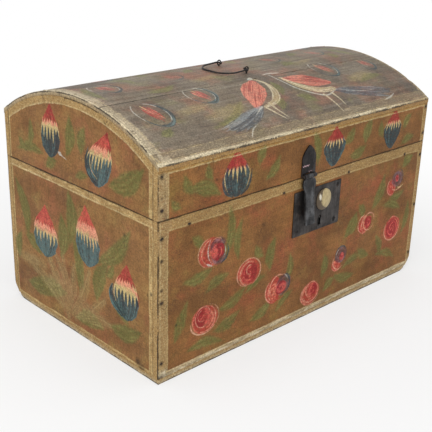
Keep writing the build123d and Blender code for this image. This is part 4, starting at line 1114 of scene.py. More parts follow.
def wear_down(u, v, gaps, radii, wear, chips, seed):
    """How deep wear has taken each point of a face, and how far it shows the wood."""
    depth, worn = np.zeros(len(u)), np.zeros(len(u))
    for k, (gap, radius) in enumerate(zip(gaps, radii)):
        run = v if k < 2 else u
        rough = random_field(run, gap * 0 + k * 31.0, 11.0, seed + k)
        fray = random_field(run, gap * 0 + k * 17.0, 2.6, seed + 9 + k)
        here = radius * (0.55 + 0.45 * rough)
        inset = np.clip(here - gap, 0, None)
        depth = np.maximum(depth, here - np.sqrt(np.clip(here**2 - inset**2, 0, None)))
        chip = np.clip((rough + fray - 1.25) * 3.0, 0, 1) * chips
        depth = np.maximum(depth, chip * np.clip(1 - gap / (0.8 + 1.4 * fray), 0, 1))
        rubbed = np.clip(1.2 - gap / (0.5 + 0.9 * fray), 0, 1)
        worn = np.maximum(worn, wear[k] * (0.3 + rough * 0.8) * rubbed)
    return depth + 0.12 * random_field(u, v, 37.0, seed + 20), worn


def wall_paint(edges, painted_walls, walls):
    """Which points of a board's edge carry a painted wall, and the shades of that wall."""
    painted, shades = np.zeros(len(edges[0]), bool), np.zeros((4, len(edges[0])))
    for k in painted_walls:
        painted |= edges[int(k)]
        shades[:, edges[int(k)]] = np.array(dict(walls).get(k, PLAIN_WALL))[:, None]
    return painted, shades


def carry_fields(face, u, v, loop, rear, painted, shades, seed):
    """The fields of a whole board: its face, the two rings of its walls, and its back."""
    fields, rim, ochre = {}, np.isin(rear, loop[painted]), shades[3] > 0
    plain = {"bare": (painted, rim, 0.0, 1.0), "band": (painted, rim, 4.0, FAR_OUT),
             "ochre": (ochre, np.isin(rear, loop[ochre]), 3.0, FAR_OUT)}
    for mark, values in face.fields.items():
        outside = FAR_OUT if mark in COATS else 0.0
        near, far, on_rear = (np.full(k, outside) for k in (len(loop), len(loop), len(rear)))
        if mark in plain:
            on_wall, on_rim, yes, no = plain[mark]
            near = far = np.where(on_wall, yes, no)
            on_rear = np.where(on_rim, yes, no)
        elif mark in ("tone", "chalk"):
            near = far = shades[int(mark == "chalk")]
        elif mark in ("stain_and_shade", "worn"):
            stain_and_shade = shades[2] * random_field(u[loop], v[loop], 9.0, seed + 30)
            near = (values[loop] * 0.5 + stain_and_shade) * painted
        fields[mark] = np.concatenate([values, near, far, on_rear])
    return fields


# %% [markdown]
# ## One maker for twelve boards
# The maker lays out the grid, wears it, lets the painter loose on it, and closes the slab. A
# hole, such as the lock's in the front board, gets its own ring of wall.

# %% Board maker
def board(name, body, slot, place, u_lines, v_lines, thick, radii, painting, material,
          painted_walls="", walls=(), wear=(0, 0, 0, 0), chips=0.5, back_step=18.0, hole=None,
          chart=lambda u, v: (u, v), seed=1):
    """A board that stands for its CAD node. Radii, painted walls and wear are for the low u,
    high u, low v and high v edges. place(u, v, depth) gives points in mm, and chart(u, v) the
    painter's measures."""
    if hole:
        u_lines, v_lines = np.union1d(u_lines, hole[:2]), np.union1d(v_lines, hole[2:])
    n, m = len(u_lines), len(v_lines)
    u, v = (g.ravel() for g in np.meshgrid(u_lines, v_lines, indexing="ij"))
    gaps = (u - u_lines[0], u_lines[-1] - u, v - v_lines[0], v_lines[-1] - v)
    depth, worn = wear_down(u, v, gaps, radii, wear, chips, seed)
    face = Face(*chart(u, v))
    painting(face)
    face.lay("worn", face.everywhere(), worn)
    if material == dome_paint:  # its seams and cracks are cut a little into the wood
        depth = depth + 0.25 * np.clip(face.fields["stain_and_shade"] - 0.55, 0, 1)

    index = np.arange(n * m).reshape(n, m)
    loop = around(index)
    cu = coarse_steps(u_lines, back_step, hole[:2] if hole else ())
    cv = coarse_steps(v_lines, back_step, hole[2:] if hole else ())
    coarse = index[np.ix_(cu, cv)]
    edges = (u[loop] <= u_lines[0], u[loop] >= u_lines[-1],
             v[loop] <= v_lines[0], v[loop] >= v_lines[-1])
    painted, shades = wall_paint(edges, painted_walls, walls)

    # two rings of wall run below the worn edge
    sunk = [np.minimum(depth[loop] + more, thick * 0.7) for more in (0.5, 1.5)]
    back = np.full(coarse.size, float(thick))
    parts = [(u, v, depth), *((u[loop], v[loop], d) for d in sunk),
             (u[coarse.ravel()], v[coarse.ravel()], back)]
    points = np.vstack([np.stack(place(*where), 1) for where in parts])
    first, second = n * m + np.arange(len(loop)), n * m + len(loop) + np.arange(len(loop))
    rear_index = n * m + 2 * len(loop) + np.arange(coarse.size).reshape(coarse.shape)
    rear_of = dict(zip(coarse.ravel().tolist(), rear_index.ravel().tolist()))

    cells, rear_cells = (
        np.stack([g[:-1, :-1], g[1:, :-1], g[1:, 1:], g[:-1, 1:]], -1) for g in (index, rear_index))
    rear_cells = rear_cells[..., [0, 3, 2, 1]]
    threes = close_wall(loop, second, around(coarse), rear_of)
    if hole:
        i, j = np.searchsorted(u_lines, hole[:2]), np.searchsorted(v_lines, hole[2:])
        p, q = np.searchsorted(cu, i), np.searchsorted(cv, j)
        cells[i[0]:i[1], j[0]:j[1]] = -1
        rear_cells[p[0]:p[1], q[0]:q[1]] = -1
        inner = around(index[i[0]:i[1] + 1, j[0]:j[1] + 1])[::-1]
        rear_inner = around(coarse[p[0]:p[1] + 1, q[0]:q[1] + 1])[::-1]
        threes += close_wall(inner, inner, rear_inner, rear_of)
    quads = [c.reshape(-1, 4)[c.reshape(-1, 4)[:, 0] >= 0] for c in (cells, rear_cells)]
    for upper, lower in ((loop, first), (first, second)):
        quads.append(np.stack([np.roll(upper, -1), upper, lower, np.roll(lower, -1)], 1))

    fields = carry_fields(face, u, v, loop, coarse.ravel(), painted, shades, seed)
    mesh = mesh_from(name, points, np.vstack(quads), np.array(threes), fields)
    mesh.materials.append(material)
    piece = new_object(name, mesh)
    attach(piece, body)
    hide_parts(name.replace("_painted", ""))
    print(name, "has", sum(len(p.vertices) - 2 for p in mesh.polygons), "triangles")
    return piece


# %% [markdown]
# ## The box
# The front and back boards lap over the ends, so their end grain shows at the corners of the
# end faces, and it carries the cream band too. The front board is opened for the lock, and
# three of the box's lower corners are worn round.

# %% Box boards
ARRIS, EDGE, JOINT, UNDER = 1.4, 0.7, 0.5, 0.25  # radii of worn edges in mm
SIDE_RADII, END_RADII = (ARRIS, ARRIS, UNDER, EDGE), (JOINT, JOINT, UNDER, EDGE)
WORN_REACH = 25.0  # mm along each edge from a worn corner
LOCK_HOLE = (-16.0, 30.0, 112.5, 150.5)  # low and high x, low and high z


def worn_corners(x, y, z):
    """Rubs three lower corners of the box round. The fourth, in front on the left, stayed sharp."""
    low = np.clip(WORN_REACH - z, 0, None)
    for side_x, side_y in ((1, -1), (1, 1), (-1, 1)):
        a = np.clip(WORN_REACH - HALF_LONG + x * side_x, 0, None)
        b = np.clip(WORN_REACH - HALF_DEEP + y * side_y, 0, None)
        far = np.maximum(np.sqrt(a**2 + b**2 + low**2), 1)
        inside = (a > 0) & (b > 0) & (low > 0)
        pull = np.where(inside, np.clip(1 - math.sqrt(2) * WORN_REACH / far, 0, 1), 0)
        x, y, z = x - side_x * pull * a, y - side_y * pull * b, z + pull * low
    return x, y, z


def box_grid(half, step, arris):
    """The grid lines of a side or an end of the box: across, and up."""
    return (grid_lines(-half, half, step, (arris, arris)),
            grid_lines(BASE_BOARD, BOX_TOP, step, (UNDER, EDGE)))


board("front_board_painted", "box", "painted_wood",
      lambda u, v, d: worn_corners(u, d - HALF_DEEP, v), *box_grid(HALF_LONG, 0.93, ARRIS),
      SIDE_BOARD, SIDE_RADII, front_painting, side_paint, "01", wear=(0.85, 0.6, 0.0, 0.4),
      hole=LOCK_HOLE, seed=3)
board("back_board_painted", "box", "painted_wood",
      lambda u, v, d: worn_corners(-u, HALF_DEEP - d, v), *box_grid(HALF_LONG, 1.5, ARRIS),
      SIDE_BOARD, SIDE_RADII, back_painting, side_paint, "01", wear=(0.8, 0.8, 0, 0.4), seed=5)
for side, name, step, seed in ((-1, "left_end_board", 0.74, 7), (1, "right_end_board", 0.95, 8)):
    board(name + "_painted", "box", "painted_wood",
          lambda u, v, d, side=side: worn_corners(side * (HALF_LONG - d), -u, v),
          *box_grid(END_HALF, step, JOINT), SIDE_BOARD, END_RADII, end_painting, end_paint,
          wear=(0.2, 0.3, 0, 0.3), chips=0.2, seed=seed)

# %% [markdown]
# ## The bottom
# The bottom board is bare below. Its four narrow edges carry the cream band, chalky with
# wear, and so they are painted walls.

# %% Bottom board
def base_painting(face):
    """The underside is bare. Its rim turns up into the painted walls."""
    rim = np.minimum(HALF_LONG - np.abs(face.u), HALF_DEEP - np.abs(face.v))
    face.fields["bare"] = np.clip((rim - 0.5) / 0.6, 0, 1)
    face.lay("band", face.everywhere(), np.where(rim < 1.2, 4.0, FAR_OUT))


BASE_RADIUS, BASE_WALL = 1.0, (0.0, 0.8, 0.5, 0.0)
base_lines = [grid_lines(-half, half, 2.6, (BASE_RADIUS,) * 2) for half in (HALF_LONG, HALF_DEEP)]
board("bottom_board_painted", "box", "bare_wood", worn_corners, *base_lines, BASE_BOARD,
      (BASE_RADIUS,) * 4, base_painting, side_paint, "0123", walls={k: BASE_WALL for k in "0123"},
      wear=(1.0, 0.9, 1.0, 0.9), seed=11)

# %% [markdown]
# ## The lid
# The lid's rails end in a slope that follows the curve, its ends are arched on top, and three
# thin bent boards close it. The dome's place function keeps the depth upright at the front
# edge, so that edge stands flush with the rail under it.

# %% Lid boards
def arch_height(y, radius):
    """How high the curve lies over a place between front and back."""
    return DOME_CENTRE + np.sqrt(radius**2 - np.asarray(y, float) ** 2)


def rail_place(side):
    """Points of a lid rail: its top slopes up towards the inside, under the dome boards."""
    top = arch_height(HALF_DEEP, END_ARCH)

    def place(u, v, d):
        share = (v - LID_BOTTOM) / (top - LID_BOTTOM)
        z = LID_BOTTOM + share * (arch_height(HALF_DEEP - d, END_ARCH) - LID_BOTTOM)
        return (u * -side, side * (HALF_DEEP - d), z)

    return place, top


TOP_RADIUS = 0.3
for side, name, painting, step, seed in ((-1, "lid_front_rail", lid_front_painting, 0.8, 13),
                                         (1, "lid_back_rail", lid_back_painting, 1.3, 14)):
    place, top = rail_place(side)
    board(name + "_painted", "lid", "painted_wood", place,
          grid_lines(-HALF_LONG, HALF_LONG, step, (ARRIS, ARRIS)),
          grid_lines(LID_BOTTOM, top, step, (EDGE, TOP_RADIUS)), SIDE_BOARD,
          (ARRIS, ARRIS, EDGE, TOP_RADIUS), painting, side_paint, "01",
          wear=(0.6, 0.5, 0.5, 0.2), seed=seed)

# %% [markdown]
# ## Lid ends and dome
# The grid of a lid end is stretched up to the arch. The painter still measures its true
# height there, so the end has its own chart.

# %% Lid ends and dome boards
CROWN = arch_height(0.0, END_ARCH)


def lid_end_place(side):
    """Points of a lid end: every upright line ends at the arch."""
    def place(u, v, d):
        share = (v - LID_BOTTOM) / (CROWN - LID_BOTTOM)
        z = LID_BOTTOM + share * (arch_height(u, END_ARCH) - LID_BOTTOM)
        return (side * (HALF_LONG - d), -u, z)

    return place


for side, name, step, seed in ((-1, "lid_left_end", 0.74, 15), (1, "lid_right_end", 1.0, 16)):
    place = lid_end_place(side)
    board(name + "_painted", "lid", "painted_wood", place,
          grid_lines(-END_HALF, END_HALF, step, (JOINT, JOINT)),
          grid_lines(LID_BOTTOM, CROWN, step, (EDGE, JOINT)), SIDE_BOARD,
          (JOINT, JOINT, EDGE, JOINT), lid_end_painting, end_paint, wear=(0.2, 0.2, 0.4, 0.7),
          chips=0.4, chart=lambda u, v, place=place: (u, place(u, v, 0 * u)[2]), seed=seed)


def dome_place(u, s, d):
    """Points of the dome, u along the chest and s round the curve."""
    y = DOME_RADIUS * np.sin(s / DOME_RADIUS)
    return (u, y, DOME_CENTRE + np.sqrt((DOME_RADIUS - d) ** 2 - y**2))


DOME_SIDE, DOME_FRONT = (0.3, 0.4, 0.2, 0), (-0.2, 0, 0.5, 1)
DOME_WALLS = {"0": DOME_SIDE, "1": DOME_SIDE, "2": DOME_FRONT, "3": DOME_FRONT}
OPEN, SHUT = 1.3, 0.5  # radii of a free edge and of an edge at a seam
for name, low, high, step, across, walls, wear, seed in (
        ("dome_front_board", -DOME_EDGE, -SEAM, 0.8, (OPEN, SHUT), "012", (0.75, 0.2), 17),
        ("dome_top_board", -SEAM, SEAM, 0.95, (SHUT, SHUT), "01", (0.2, 0.2), 18),
        ("dome_back_board", SEAM, DOME_EDGE, 1.0, (SHUT, OPEN), "013", (0.2, 0.5), 19)):
    board(name + "_painted", "lid", "painted_dome", dome_place,
          grid_lines(-HALF_LONG, HALF_LONG, step, (OPEN, OPEN)),
          grid_lines(low, high, step, across), DOME_BOARD, (OPEN, OPEN) + across, dome_painting,
          dome_paint, walls, walls=DOME_WALLS, wear=(0.9, 0.7) + wear, chips=1.2, back_step=6.0,
          seed=seed)

# %% [markdown]
# ## Iron
# The plate, hasp and wires are dark wrought iron: almost black, a little blue, rubbed bright on the
# edges that hands touch, with rust in the hollows. The wires are the same iron, only darker and
# plainer. Apart from the hasp, the CAD's iron shapes are right, so those nodes stay and only get
# this finish. Painted shade lies black round the plate's openings, and a few painted highlights,
# thin wavy lines, lie on the hasp.

# %% Iron finishes
def iron_finish(name, dark, light, rust, metal=0.75, rough=0.46, bump=0.5, painted_hole_shade=(), painted_highlights=()):
    """Worn iron. One list gives places of painted shade round openings: x, z and radius in mm, and
    how much taller than wide. The other gives painted highlights, thin wavy pale lines: x, z, half
    length and half width in mm."""
    material, desk, shader, place = new_material(name)
    cloud = desk.noise(place, 55.0, 5.0, 0.65)
    hammer = desk.noise(place, 150.0, 2.0, 0.5)
    fine = desk.noise(place, 1300.0, 3.0, 0.6)
    drawn = desk.streaks(place, (420.0, 420.0, 30.0), 3.0, 0.6)
    colour = desk.mix(desk.rise(cloud, 0.35, 0.7), dark, light)
    colour = desk.mix(1.0, colour, desk.rise(fine, 0.3, 0.7, 0.8, 1.2), "MULTIPLY")
    colour = desk.mix(1.0, colour, desk.rise(drawn, 0.3, 0.7, 0.72, 1.3), "MULTIPLY")
    rusty = desk.rise(desk.noise(place, 95.0, 5.0, 0.7, shift=(2.0, 5.0, 1.0)), 0.54, 0.7)
    colour = desk.mix(desk.times(rusty, rust), colour, rgb(86, 56, 38))
    # painted shade: near-black patches round the plate's openings, so that they look deep and wide
    for x, z, radius, taller in painted_hole_shade:
        away = desk.reach(place, (x * MM, 0, z * MM), (1, 0, 1 / taller))
        away = desk.math("MULTIPLY_ADD", desk.noise(place, 700.0), 0.002, away)
        hole_shade = desk.rise(away, (radius + 0.2) * MM, (radius + 1.6) * MM, 0.92, 0.0)
        colour = desk.mix(hole_shade, colour, rgb(14, 12, 12))
    # painted highlights: thin wavy pale lines across the iron
    if painted_highlights:
        parts = desk.node("SeparateXYZ", {0: place}).outputs
        wave = desk.times(desk.math("SINE", desk.times(parts[0], 1700.0)), 0.0006)
        level = desk.math("SUBTRACT", parts[2], wave)
    for x, z, reach, wide in painted_highlights:
        highlight_parts = []
        for measure, middle, inner, outer in ((parts[0], x, reach * 0.6, reach),
                                              (level, z, wide * 0.4, wide)):
            gap = desk.math("ABSOLUTE", desk.math("SUBTRACT", measure, middle * MM))
            highlight_parts.append(desk.rise(gap, inner * MM, outer * MM, 1.0, 0.0))
        colour = desk.mix(desk.times(*highlight_parts), colour, rgb(214, 178, 182))
    desk.join(colour, shader["Base Color"])
    desk.join(desk.math("MULTIPLY_ADD", rusty, -0.5 * metal, metal), shader["Metallic"])
    desk.join(desk.math("MULTIPLY_ADD", cloud, 0.25, rough - 0.12), shader["Roughness"])
    height = desk.math("MULTIPLY_ADD", hammer, 1.0, desk.times(fine, 0.12))
    desk.join(desk.bump(height, bump, 0.0006), shader["Normal"])
    return material


LOCK_DARK, LOCK_LIGHT = rgb(44, 40, 38), rgb(84, 80, 78)
lock_iron = iron_finish("lock iron", LOCK_DARK, LOCK_LIGHT, 0.3)
plate_iron = iron_finish("lock plate iron", LOCK_DARK, LOCK_LIGHT, 0.3, painted_hole_shade=(
    (18.7, 122.0, 3.2, 1.9), (46.5, 118, 2.6, 1.3), (49, 161, 2.4, 1.2), (-19, 118, 2.0, 1.0)))
# the hasp's leaf and strap carry painted highlights
leaf_iron = iron_finish("hasp leaf iron", rgb(36, 33, 33), rgb(64, 60, 60), 0.2, painted_highlights=(
    (-11.5, 196.0, 6.5, 0.75), (-4.0, 188.5, 4.0, 0.25)))
strap_iron = iron_finish("hasp strap iron", rgb(47, 47, 48), rgb(108, 109, 111), 0.1, painted_highlights=(
    (1.0, 181.5, 3.0, 0.4),))
wire_iron = iron_finish("wire iron", rgb(34, 30, 30), rgb(62, 58, 56), rust=0.3, metal=0.6,
                        rough=0.5, bump=0.25)
nail_iron = iron_finish("nail iron", rgb(34, 24, 18), rgb(58, 38, 26), rust=0.6, metal=0.3,
                        rough=0.6, bump=0.6)

material_of = {"lock_iron": lock_iron, "wire_iron": wire_iron, "nail_iron": nail_iron}
slots = {row["node"]: row["material_slot"] for row in frame["record"]["subparts"]}
for node, slot in slots.items():
    if slot in material_of:
        mesh = frame["nodes"][node].data
        mesh.materials.clear()
        mesh.materials.append(plate_iron if node == "lock_plate" else material_of[slot])
print("iron nodes:", sum(slot in material_of for slot in slots.values()))

# %% [markdown]
# ## The hasp, beaten narrower
# The smith's hasp is a little narrower than the plain CAD solid, and its foot is cut almost
# square, with a small spread to the left. Both are the CAD mesh pulled into shape across its
# middle line, so the pieces stay where the solids are and turn on the same pin.

# %% Hasp
HASP_MIDDLE = -6.5


def points_of(mesh):
    """The points of a mesh, one row each, in metres."""
    points = np.empty(len(mesh.vertices) * 3)
    mesh.vertices.foreach_get("co", points)
    return points.reshape(-1, 3)


def beaten(node, body, material, pull):
    """A copy of a CAD mesh with its points moved sideways by pull(x, z), both in mm."""
    mesh = frame["nodes"][node].data.copy()
    points = points_of(mesh)
    points[:, 0] = (HASP_MIDDLE + pull(points[:, 0] / MM - HASP_MIDDLE, points[:, 2] / MM)) * MM
    mesh.vertices.foreach_set("co", points.ravel())
    shape = bmesh.new()
    shape.from_mesh(mesh)
    bmesh.ops.remove_doubles(shape, verts=shape.verts, dist=1e-6)
    shape.to_mesh(mesh)
    shape.free()
    mesh.materials.clear()
    mesh.materials.append(material)
    mesh.shade_smooth()
    mesh.set_sharp_from_angle(angle=math.radians(35))
    piece = new_object(node + "_beaten", mesh)
    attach(piece, body)
    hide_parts(node)
    print(piece.name, "has", len(mesh.polygons), "faces")


def strap_pull(x, z):
    """Narrows the strap to 93 percent, and spreads its foot below z = 134.5 mm."""
    foot = np.clip((134.5 - z) / 8, 0, 1)
    spread = np.sign(x) * np.minimum(7.4, np.abs(x) * (1 + 0.9 * foot))
    return np.where(foot > 0, spread, x * 0.93) * np.where(x < 0, 1 + 0.3 * foot, 1.0)


beaten("hasp_strap", "hasp", strap_iron, strap_pull)
beaten("hasp_leaf", "lid", leaf_iron, lambda x, z: x * np.where(z > 187, 0.93, 0.96))

# %% [markdown]
# ## Forged nails
# The boards are held by hand-made nails. Each has a low, uneven head, wider than it is tall,
# sunk a little in the wood, and no two are alike. That is a job for Geometry Nodes: one small
# tree forges a nail, copies it to every place, turns and squeezes each copy by its own random
# amounts and roughens the result. The places come from the CAD nails, so a head always sits
# where its hole is: each separate lump of the CAD mesh is one nail, its long direction is the
# shank, and its wide end is the head. The heads on the dome were painted over.

# %% Nail tree
def forged_nail_tree():
    """The tree: a head and a shank on every point, turned to its aim, each a little different."""
    tree = bpy.data.node_groups.new("forged nails", "GeometryNodeTree")
    face = tree.interface
    face.new_socket("Geometry", in_out="INPUT", socket_type="NodeSocketGeometry")
    for title in ("Head Width", "Head Height", "Shank Width", "Shank Length", "Uneven"):
        face.new_socket(title, in_out="INPUT", socket_type="NodeSocketFloat")
    face.new_socket("Seed", in_out="INPUT", socket_type="NodeSocketInt")
    face.new_socket("Material", in_out="INPUT", socket_type="NodeSocketMaterial")
    face.new_socket("Geometry", in_out="OUTPUT", socket_type="NodeSocketGeometry")

    def node(kind, inputs=(), **settings):
        made = tree.nodes.new(kind)
        for key, value in settings.items():
            setattr(made, key, value)
        for key, value in dict(inputs).items():
            if isinstance(value, bpy.types.NodeSocket):
                tree.links.new(value, made.inputs[key])
            else:
                made.inputs[key].default_value = value
        return made

    def times(a, b):
        return node("ShaderNodeMath", {0: a, 1: b}, operation="MULTIPLY").outputs[0]

    given = node("NodeGroupInput").outputs
    head = node("GeometryNodeMeshCone", {
        "Vertices": 9, "Radius Top": times(given["Head Width"], 0.3),
        "Radius Bottom": times(given["Head Width"], 0.5), "Depth": given["Head Height"]})
    shank = node("GeometryNodeMeshCylinder", {
        "Vertices": 5, "Radius": times(given["Shank Width"], 0.5),
        "Depth": given["Shank Length"]}).outputs["Mesh"]
    down = node("ShaderNodeCombineXYZ", {"Z": times(given["Shank Length"], -0.5)}).outputs[0]
    shank = node("GeometryNodeTransform", {"Geometry": shank, "Translation": down}).outputs[0]
    nail = node("GeometryNodeJoinGeometry")
    for part in (head.outputs["Mesh"], shank):
        tree.links.new(part, nail.inputs[0])
    aim = node("GeometryNodeInputNamedAttribute", {"Name": "aim"}, data_type="FLOAT_VECTOR")
    turn = node("FunctionNodeAlignRotationToVector", {"Vector": aim.outputs["Attribute"]}, axis="Z")
    spin = node("FunctionNodeRandomValue", {2: -0.5, 3: 0.5, "Seed": given["Seed"]},
                data_type="FLOAT").outputs[1]
    spin = node("ShaderNodeCombineXYZ", {"Z": spin}).outputs[0]
    turn = node("FunctionNodeRotateRotation", {0: turn.outputs[0], 1: spin},
                rotation_space="LOCAL").outputs[0]
    smallest, largest = (0.85, 0.5, 1.0), (1.35, 0.9, 1.0)
    size = node("FunctionNodeRandomValue", {0: smallest, 1: largest, "Seed": given["Seed"]},
                data_type="FLOAT_VECTOR").outputs[0]
    copies = node("GeometryNodeInstanceOnPoints", {
        "Points": given["Geometry"], "Instance": nail.outputs[0], "Rotation": turn,
        "Scale": size}).outputs[0]
    real = node("GeometryNodeRealizeInstances", {0: copies}).outputs[0]
    dent = node("ShaderNodeTexNoise", {"Scale": 700.0}).outputs[1]
    dent = node("ShaderNodeVectorMath", {0: dent, 1: (0.5, 0.5, 0.5)}, operation="SUBTRACT")
    dent = node("ShaderNodeVectorMath", {0: dent.outputs[0], "Scale": given["Uneven"]},
                operation="SCALE").outputs[0]
    real = node("GeometryNodeSetPosition", {"Geometry": real, "Offset": dent}).outputs[0]
    real = node("GeometryNodeSetMaterial", {"Geometry": real, "Material": given["Material"]})
    tree.links.new(real.outputs[0], node("NodeGroupOutput").inputs[0])
    return tree


forged_nails = forged_nail_tree()
print("the nail tree has", len(forged_nails.nodes), "nodes")

# %% [markdown]
# ## Where the nails are
# The lumps of a CAD mesh are found by letting neighbouring points agree on the lowest number
# among them until nothing changes. The nails of the box follow its worn corners.

# %% Nail places and forge
def nail_places(node):
    """The outermost point of each nail of a CAD node, and the direction that its head faces."""
    mesh = frame["nodes"][node].data
    points, same = np.unique(points_of(mesh).round(6), axis=0, return_inverse=True)
    ends = np.empty(len(mesh.edges) * 2, int)
    mesh.edges.foreach_get("vertices", ends)
    ends = same.ravel()[ends].reshape(-1, 2)
    lump, before = np.arange(len(points)), None
    while before is None or (lump != before).any():
        before = lump.copy()
        low = before[ends].min(1)
        np.minimum.at(lump, ends[:, 0], low)
        np.minimum.at(lump, ends[:, 1], low)
    tips, aims = [], []
    for one in np.unique(lump):
        nail = points[lump == one]
        middle = (nail.min(0) + nail.max(0)) / 2
        axis = np.linalg.svd(nail - nail.mean(0))[2][0]
        along = (nail - middle) @ axis
        away = np.linalg.norm(nail - middle - np.outer(along, axis), axis=1)
        if away[along < 0].max() > away[along > 0].max():
            axis, along = -axis, -along
        tips.append(middle + axis * along.max())
        aims.append(axis)
    return np.array(tips), np.array(aims)


SHANK_WIDTH, SHANK_LENGTH, UNEVEN = 0.0014, 0.006, 0.0007


def forge_nails(node, body, material, wide, tall, seed):
    """One plain mesh with all the nails of a CAD node. Width and height are the head's, in m."""
    tips, aims = nail_places(node)
    if body == "box":
        tips = np.stack(worn_corners(*(tips / MM).T), 1) * MM
    base = bpy.data.meshes.new(node + "_places")
    base.from_pydata((tips - aims * tall * 1.5).tolist(), [], [])
    base.attributes.new("aim", "FLOAT_VECTOR", "POINT").data.foreach_set("vector", aims.ravel())
    places = new_object(node + "_places", base)
    forge = places.modifiers.new("forge", "NODES")
    forge.node_group = forged_nails
    keys = {item.name: item.identifier for item in forged_nails.interface.items_tree
            if item.in_out == "INPUT"}
    values = {"Head Width": wide, "Head Height": tall, "Shank Width": SHANK_WIDTH,
              "Shank Length": SHANK_LENGTH, "Uneven": UNEVEN, "Seed": seed, "Material": material}
    for name, value in values.items():
        forge[keys[name]] = value
    graph = bpy.context.evaluated_depsgraph_get()
    mesh = bpy.data.meshes.new_from_object(places.evaluated_get(graph))
    bpy.data.objects.remove(places)
    mesh.shade_smooth()
    mesh.set_sharp_from_angle(angle=math.radians(50))
    piece = new_object(node + "_forged", mesh)
    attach(piece, body)
    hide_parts(node)
    print(piece.name, "has", len(tips), "nails")


# %% [markdown]
# ## Nails in their places
# The dark heads get the rusted iron. The dome's heads carry the same chalky cream as its
# band, so they hardly show.

# %% Nails
painted_heads = iron_finish("painted nail heads", rgb(112, 98, 78), rgb(158, 142, 112),
                            rust=0.4, metal=0.0, rough=0.62, bump=0.7)
bpy.context.view_layer.update()
for seed, (node, body, material, wide, tall) in enumerate([
        ("corner_nails", "box", nail_iron, 0.0042, 0.0008),
        ("rim_nails", "box", nail_iron, 0.0044, 0.0008),
        ("bottom_nails", "box", nail_iron, 0.0040, 0.0006),
        ("lock_plate_tacks", "box", nail_iron, 0.0036, 0.0008),
        ("lid_corner_nails", "lid", nail_iron, 0.0042, 0.0008),
        ("hasp_leaf_tacks", "lid", nail_iron, 0.0030, 0.0007),
        ("dome_nails", "lid", painted_heads, 0.0034, 0.0006)]):
    forge_nails(node, body, material, wide, tall, seed)

# %% [markdown]
# ## The pale boss and the bare batten
# A low turned boss sits in the round hole of the lock plate. It is pale and yellowed. Its left side
# carries painted shade, a brown crescent, and one painted highlight, a bright spot. The crescent is
# what lies outside a circle set off to the right of the boss's own centre. The batten behind the
# front board is plain wood.

# %% Boss and batten finishes
boss_low, boss_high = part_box("lock_plate_disc")
boss_centre = (boss_low + boss_high) / 2
SHADE_CIRCLE_MIDDLE, HIGHLIGHT_MIDDLE = (0.0066, 0, 0.0020), (-0.0080, 0, 0.0045)  # from the boss's centre
boss_paint, desk, shader, place = new_material("pale boss")
centred = desk.node("VectorMath", {0: place, 1: boss_centre}, operation="SUBTRACT").outputs[0]
# painted shade: a brown crescent on the boss's left side, outside a circle set off to the right
shade_circle = desk.reach(centred, SHADE_CIRCLE_MIDDLE, (1, 0, 1))
shade_circle = desk.math("MULTIPLY_ADD", desk.noise(place, 340.0, 4.0, 0.7), 0.006, shade_circle)
cloudy = desk.rise(desk.noise(place, 160.0, 4.0, 0.6), 0.35, 0.7)
cream = desk.mix(cloudy, rgb(196, 177, 130), rgb(168, 148, 105))
shade_crescent = desk.rise(shade_circle, 0.0150, 0.0168)
cream = desk.mix(desk.times(shade_crescent, 0.9), cream, rgb(66, 50, 36))
# painted highlight: one bright spot at the boss's upper left
boss_highlight = desk.reach(centred, HIGHLIGHT_MIDDLE, (1, 0, 0.45))
boss_highlight = desk.math("MULTIPLY_ADD", desk.noise(place, 900.0), 0.0016, boss_highlight)
cream = desk.mix(desk.rise(boss_highlight, 0.0017, 0.0030, 0.9, 0.0), cream, rgb(228, 220, 200))
specks = desk.group(old_dirt, {"Vector": place, "Speck Size": 700.0})
cream = desk.mix(desk.times(specks["Speck"], 0.5), cream, rgb(70, 54, 38))
desk.join(cream, shader["Base Color"])
desk.join(desk.math("MULTIPLY_ADD", specks["Stipple"], 0.2, 0.3), shader["Roughness"])
desk.join(desk.bump(specks["Stipple"], 0.3, 0.0003), shader["Normal"])

bare_wood, desk, shader, place = new_material("bare wood")
wood = desk.group(bare_board, {"Vector": place})
desk.join(wood["Color"], shader["Base Color"])
shader["Roughness"].default_value = 0.78
desk.join(desk.bump(wood["Height"], 0.4, 0.0004), shader["Normal"])
for node, material in (("lock_plate_disc", boss_paint), ("front_rim_batten", bare_wood)):
    frame["nodes"][node].data.materials.clear()
    frame["nodes"][node].data.materials.append(material)

# %% [markdown]
# ## Floor, background and light
# The photograph is cut out on white, so the floor is a wide pale sheet and the world is white
# to the camera. From below the floor is clear, so that the underside can be looked at. Two
# large soft lamps and the world light the chest evenly, at a level where a colour renders
# about as it is written.

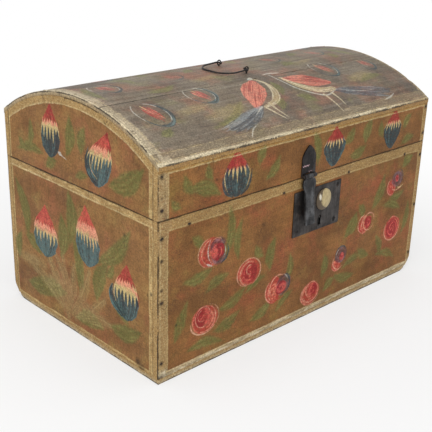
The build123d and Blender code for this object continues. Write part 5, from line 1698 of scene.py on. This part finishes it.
# %% Floor
FLOOR_HALF, FLOOR_GREY = 6.0, 0.9
WHITE_FROM, WHITE_TO = 0.3, 0.75  # metres from the middle, where the floor turns into the white
floor_mesh = bpy.data.meshes.new("studio_floor")
floor_mesh.from_pydata([(x * FLOOR_HALF, y * FLOOR_HALF, 0)
                        for x, y in ((-1, -1), (1, -1), (1, 1), (-1, 1))], [], [(0, 1, 2, 3)])
floor = new_object("studio_floor", floor_mesh)
floor.location.z = -0.0002  # just under the chest
floor_paint, desk, shader, place = new_material("studio floor")
shader["Base Color"].default_value = (FLOOR_GREY, FLOOR_GREY, FLOOR_GREY, 1)
shader["Roughness"].default_value = 0.9
shader["Specular IOR Level"].default_value = 0.1
floor_mesh.materials.append(floor_paint)
output = next(n for n in floor_paint.node_tree.nodes if n.type == "OUTPUT_MATERIAL")
soft = output.inputs["Surface"].links[0].from_socket
glow = desk.node("Emission", {"Strength": 1.0})
away = desk.reach(place)
eye = desk.node("LightPath").outputs["Is Camera Ray"]
white = desk.times(desk.rise(away, WHITE_FROM, WHITE_TO, 0.6, 1.0), eye)
blend = desk.node("MixShader", {0: white, 1: soft, 2: glow.outputs[0]})
below = desk.node("NewGeometry").outputs["Backfacing"]
clear = desk.node("BsdfTransparent")
blend = desk.node("MixShader", {0: below, 1: blend.outputs[0], 2: clear.outputs[0]})
desk.join(blend.outputs[0], output.inputs["Surface"])
print("floor of", 2 * FLOOR_HALF, "m")

# %% [markdown]
# ## The world and the lamps
# What the camera sees of the world is pure white. As light it is dimmer, and in the iron's
# reflections it lies between the two.

# %% World and lamps
SKY_LIGHT, SKY_SEEN, SKY_GLOSS = 0.62, 1.0, 0.75
AIM = Vector((0, 0, 0.12))
world = bpy.data.worlds.new("studio")
bpy.context.scene.world = world
world.use_nodes = True
desk = Desk(world.node_tree)
world.node_tree.nodes.clear()
path = desk.node("LightPath")
seen = desk.math("MAXIMUM", path.outputs["Is Camera Ray"], path.outputs["Is Transmission Ray"])
seen = desk.math("MAXIMUM", seen, desk.times(path.outputs["Is Glossy Ray"], SKY_GLOSS))
strength = desk.between(seen, SKY_LIGHT, SKY_SEEN)
sky = desk.node("Background", {"Color": (1, 1, 1, 1), "Strength": strength})
desk.join(sky.outputs[0], desk.node("OutputWorld").inputs["Surface"])


def soft_lamp(name, place, size, power):
    """A square lamp that shines on the chest. Place and size in metres, power in watts."""
    lamp = bpy.data.lights.new(name, "AREA")
    lamp.shape, lamp.size, lamp.energy = "SQUARE", size, power
    made = new_object(name, lamp)
    made.location = place
    made.rotation_euler = (AIM - Vector(place)).to_track_quat("-Z", "Y").to_euler()


soft_lamp("overhead", place=(-0.3, -0.2, 1.7), size=1.4, power=9.0)
soft_lamp("front left", place=(-1.5, -1.3, 1.1), size=1.2, power=11.0)
print("lamps:", [light.name for light in bpy.data.lights])
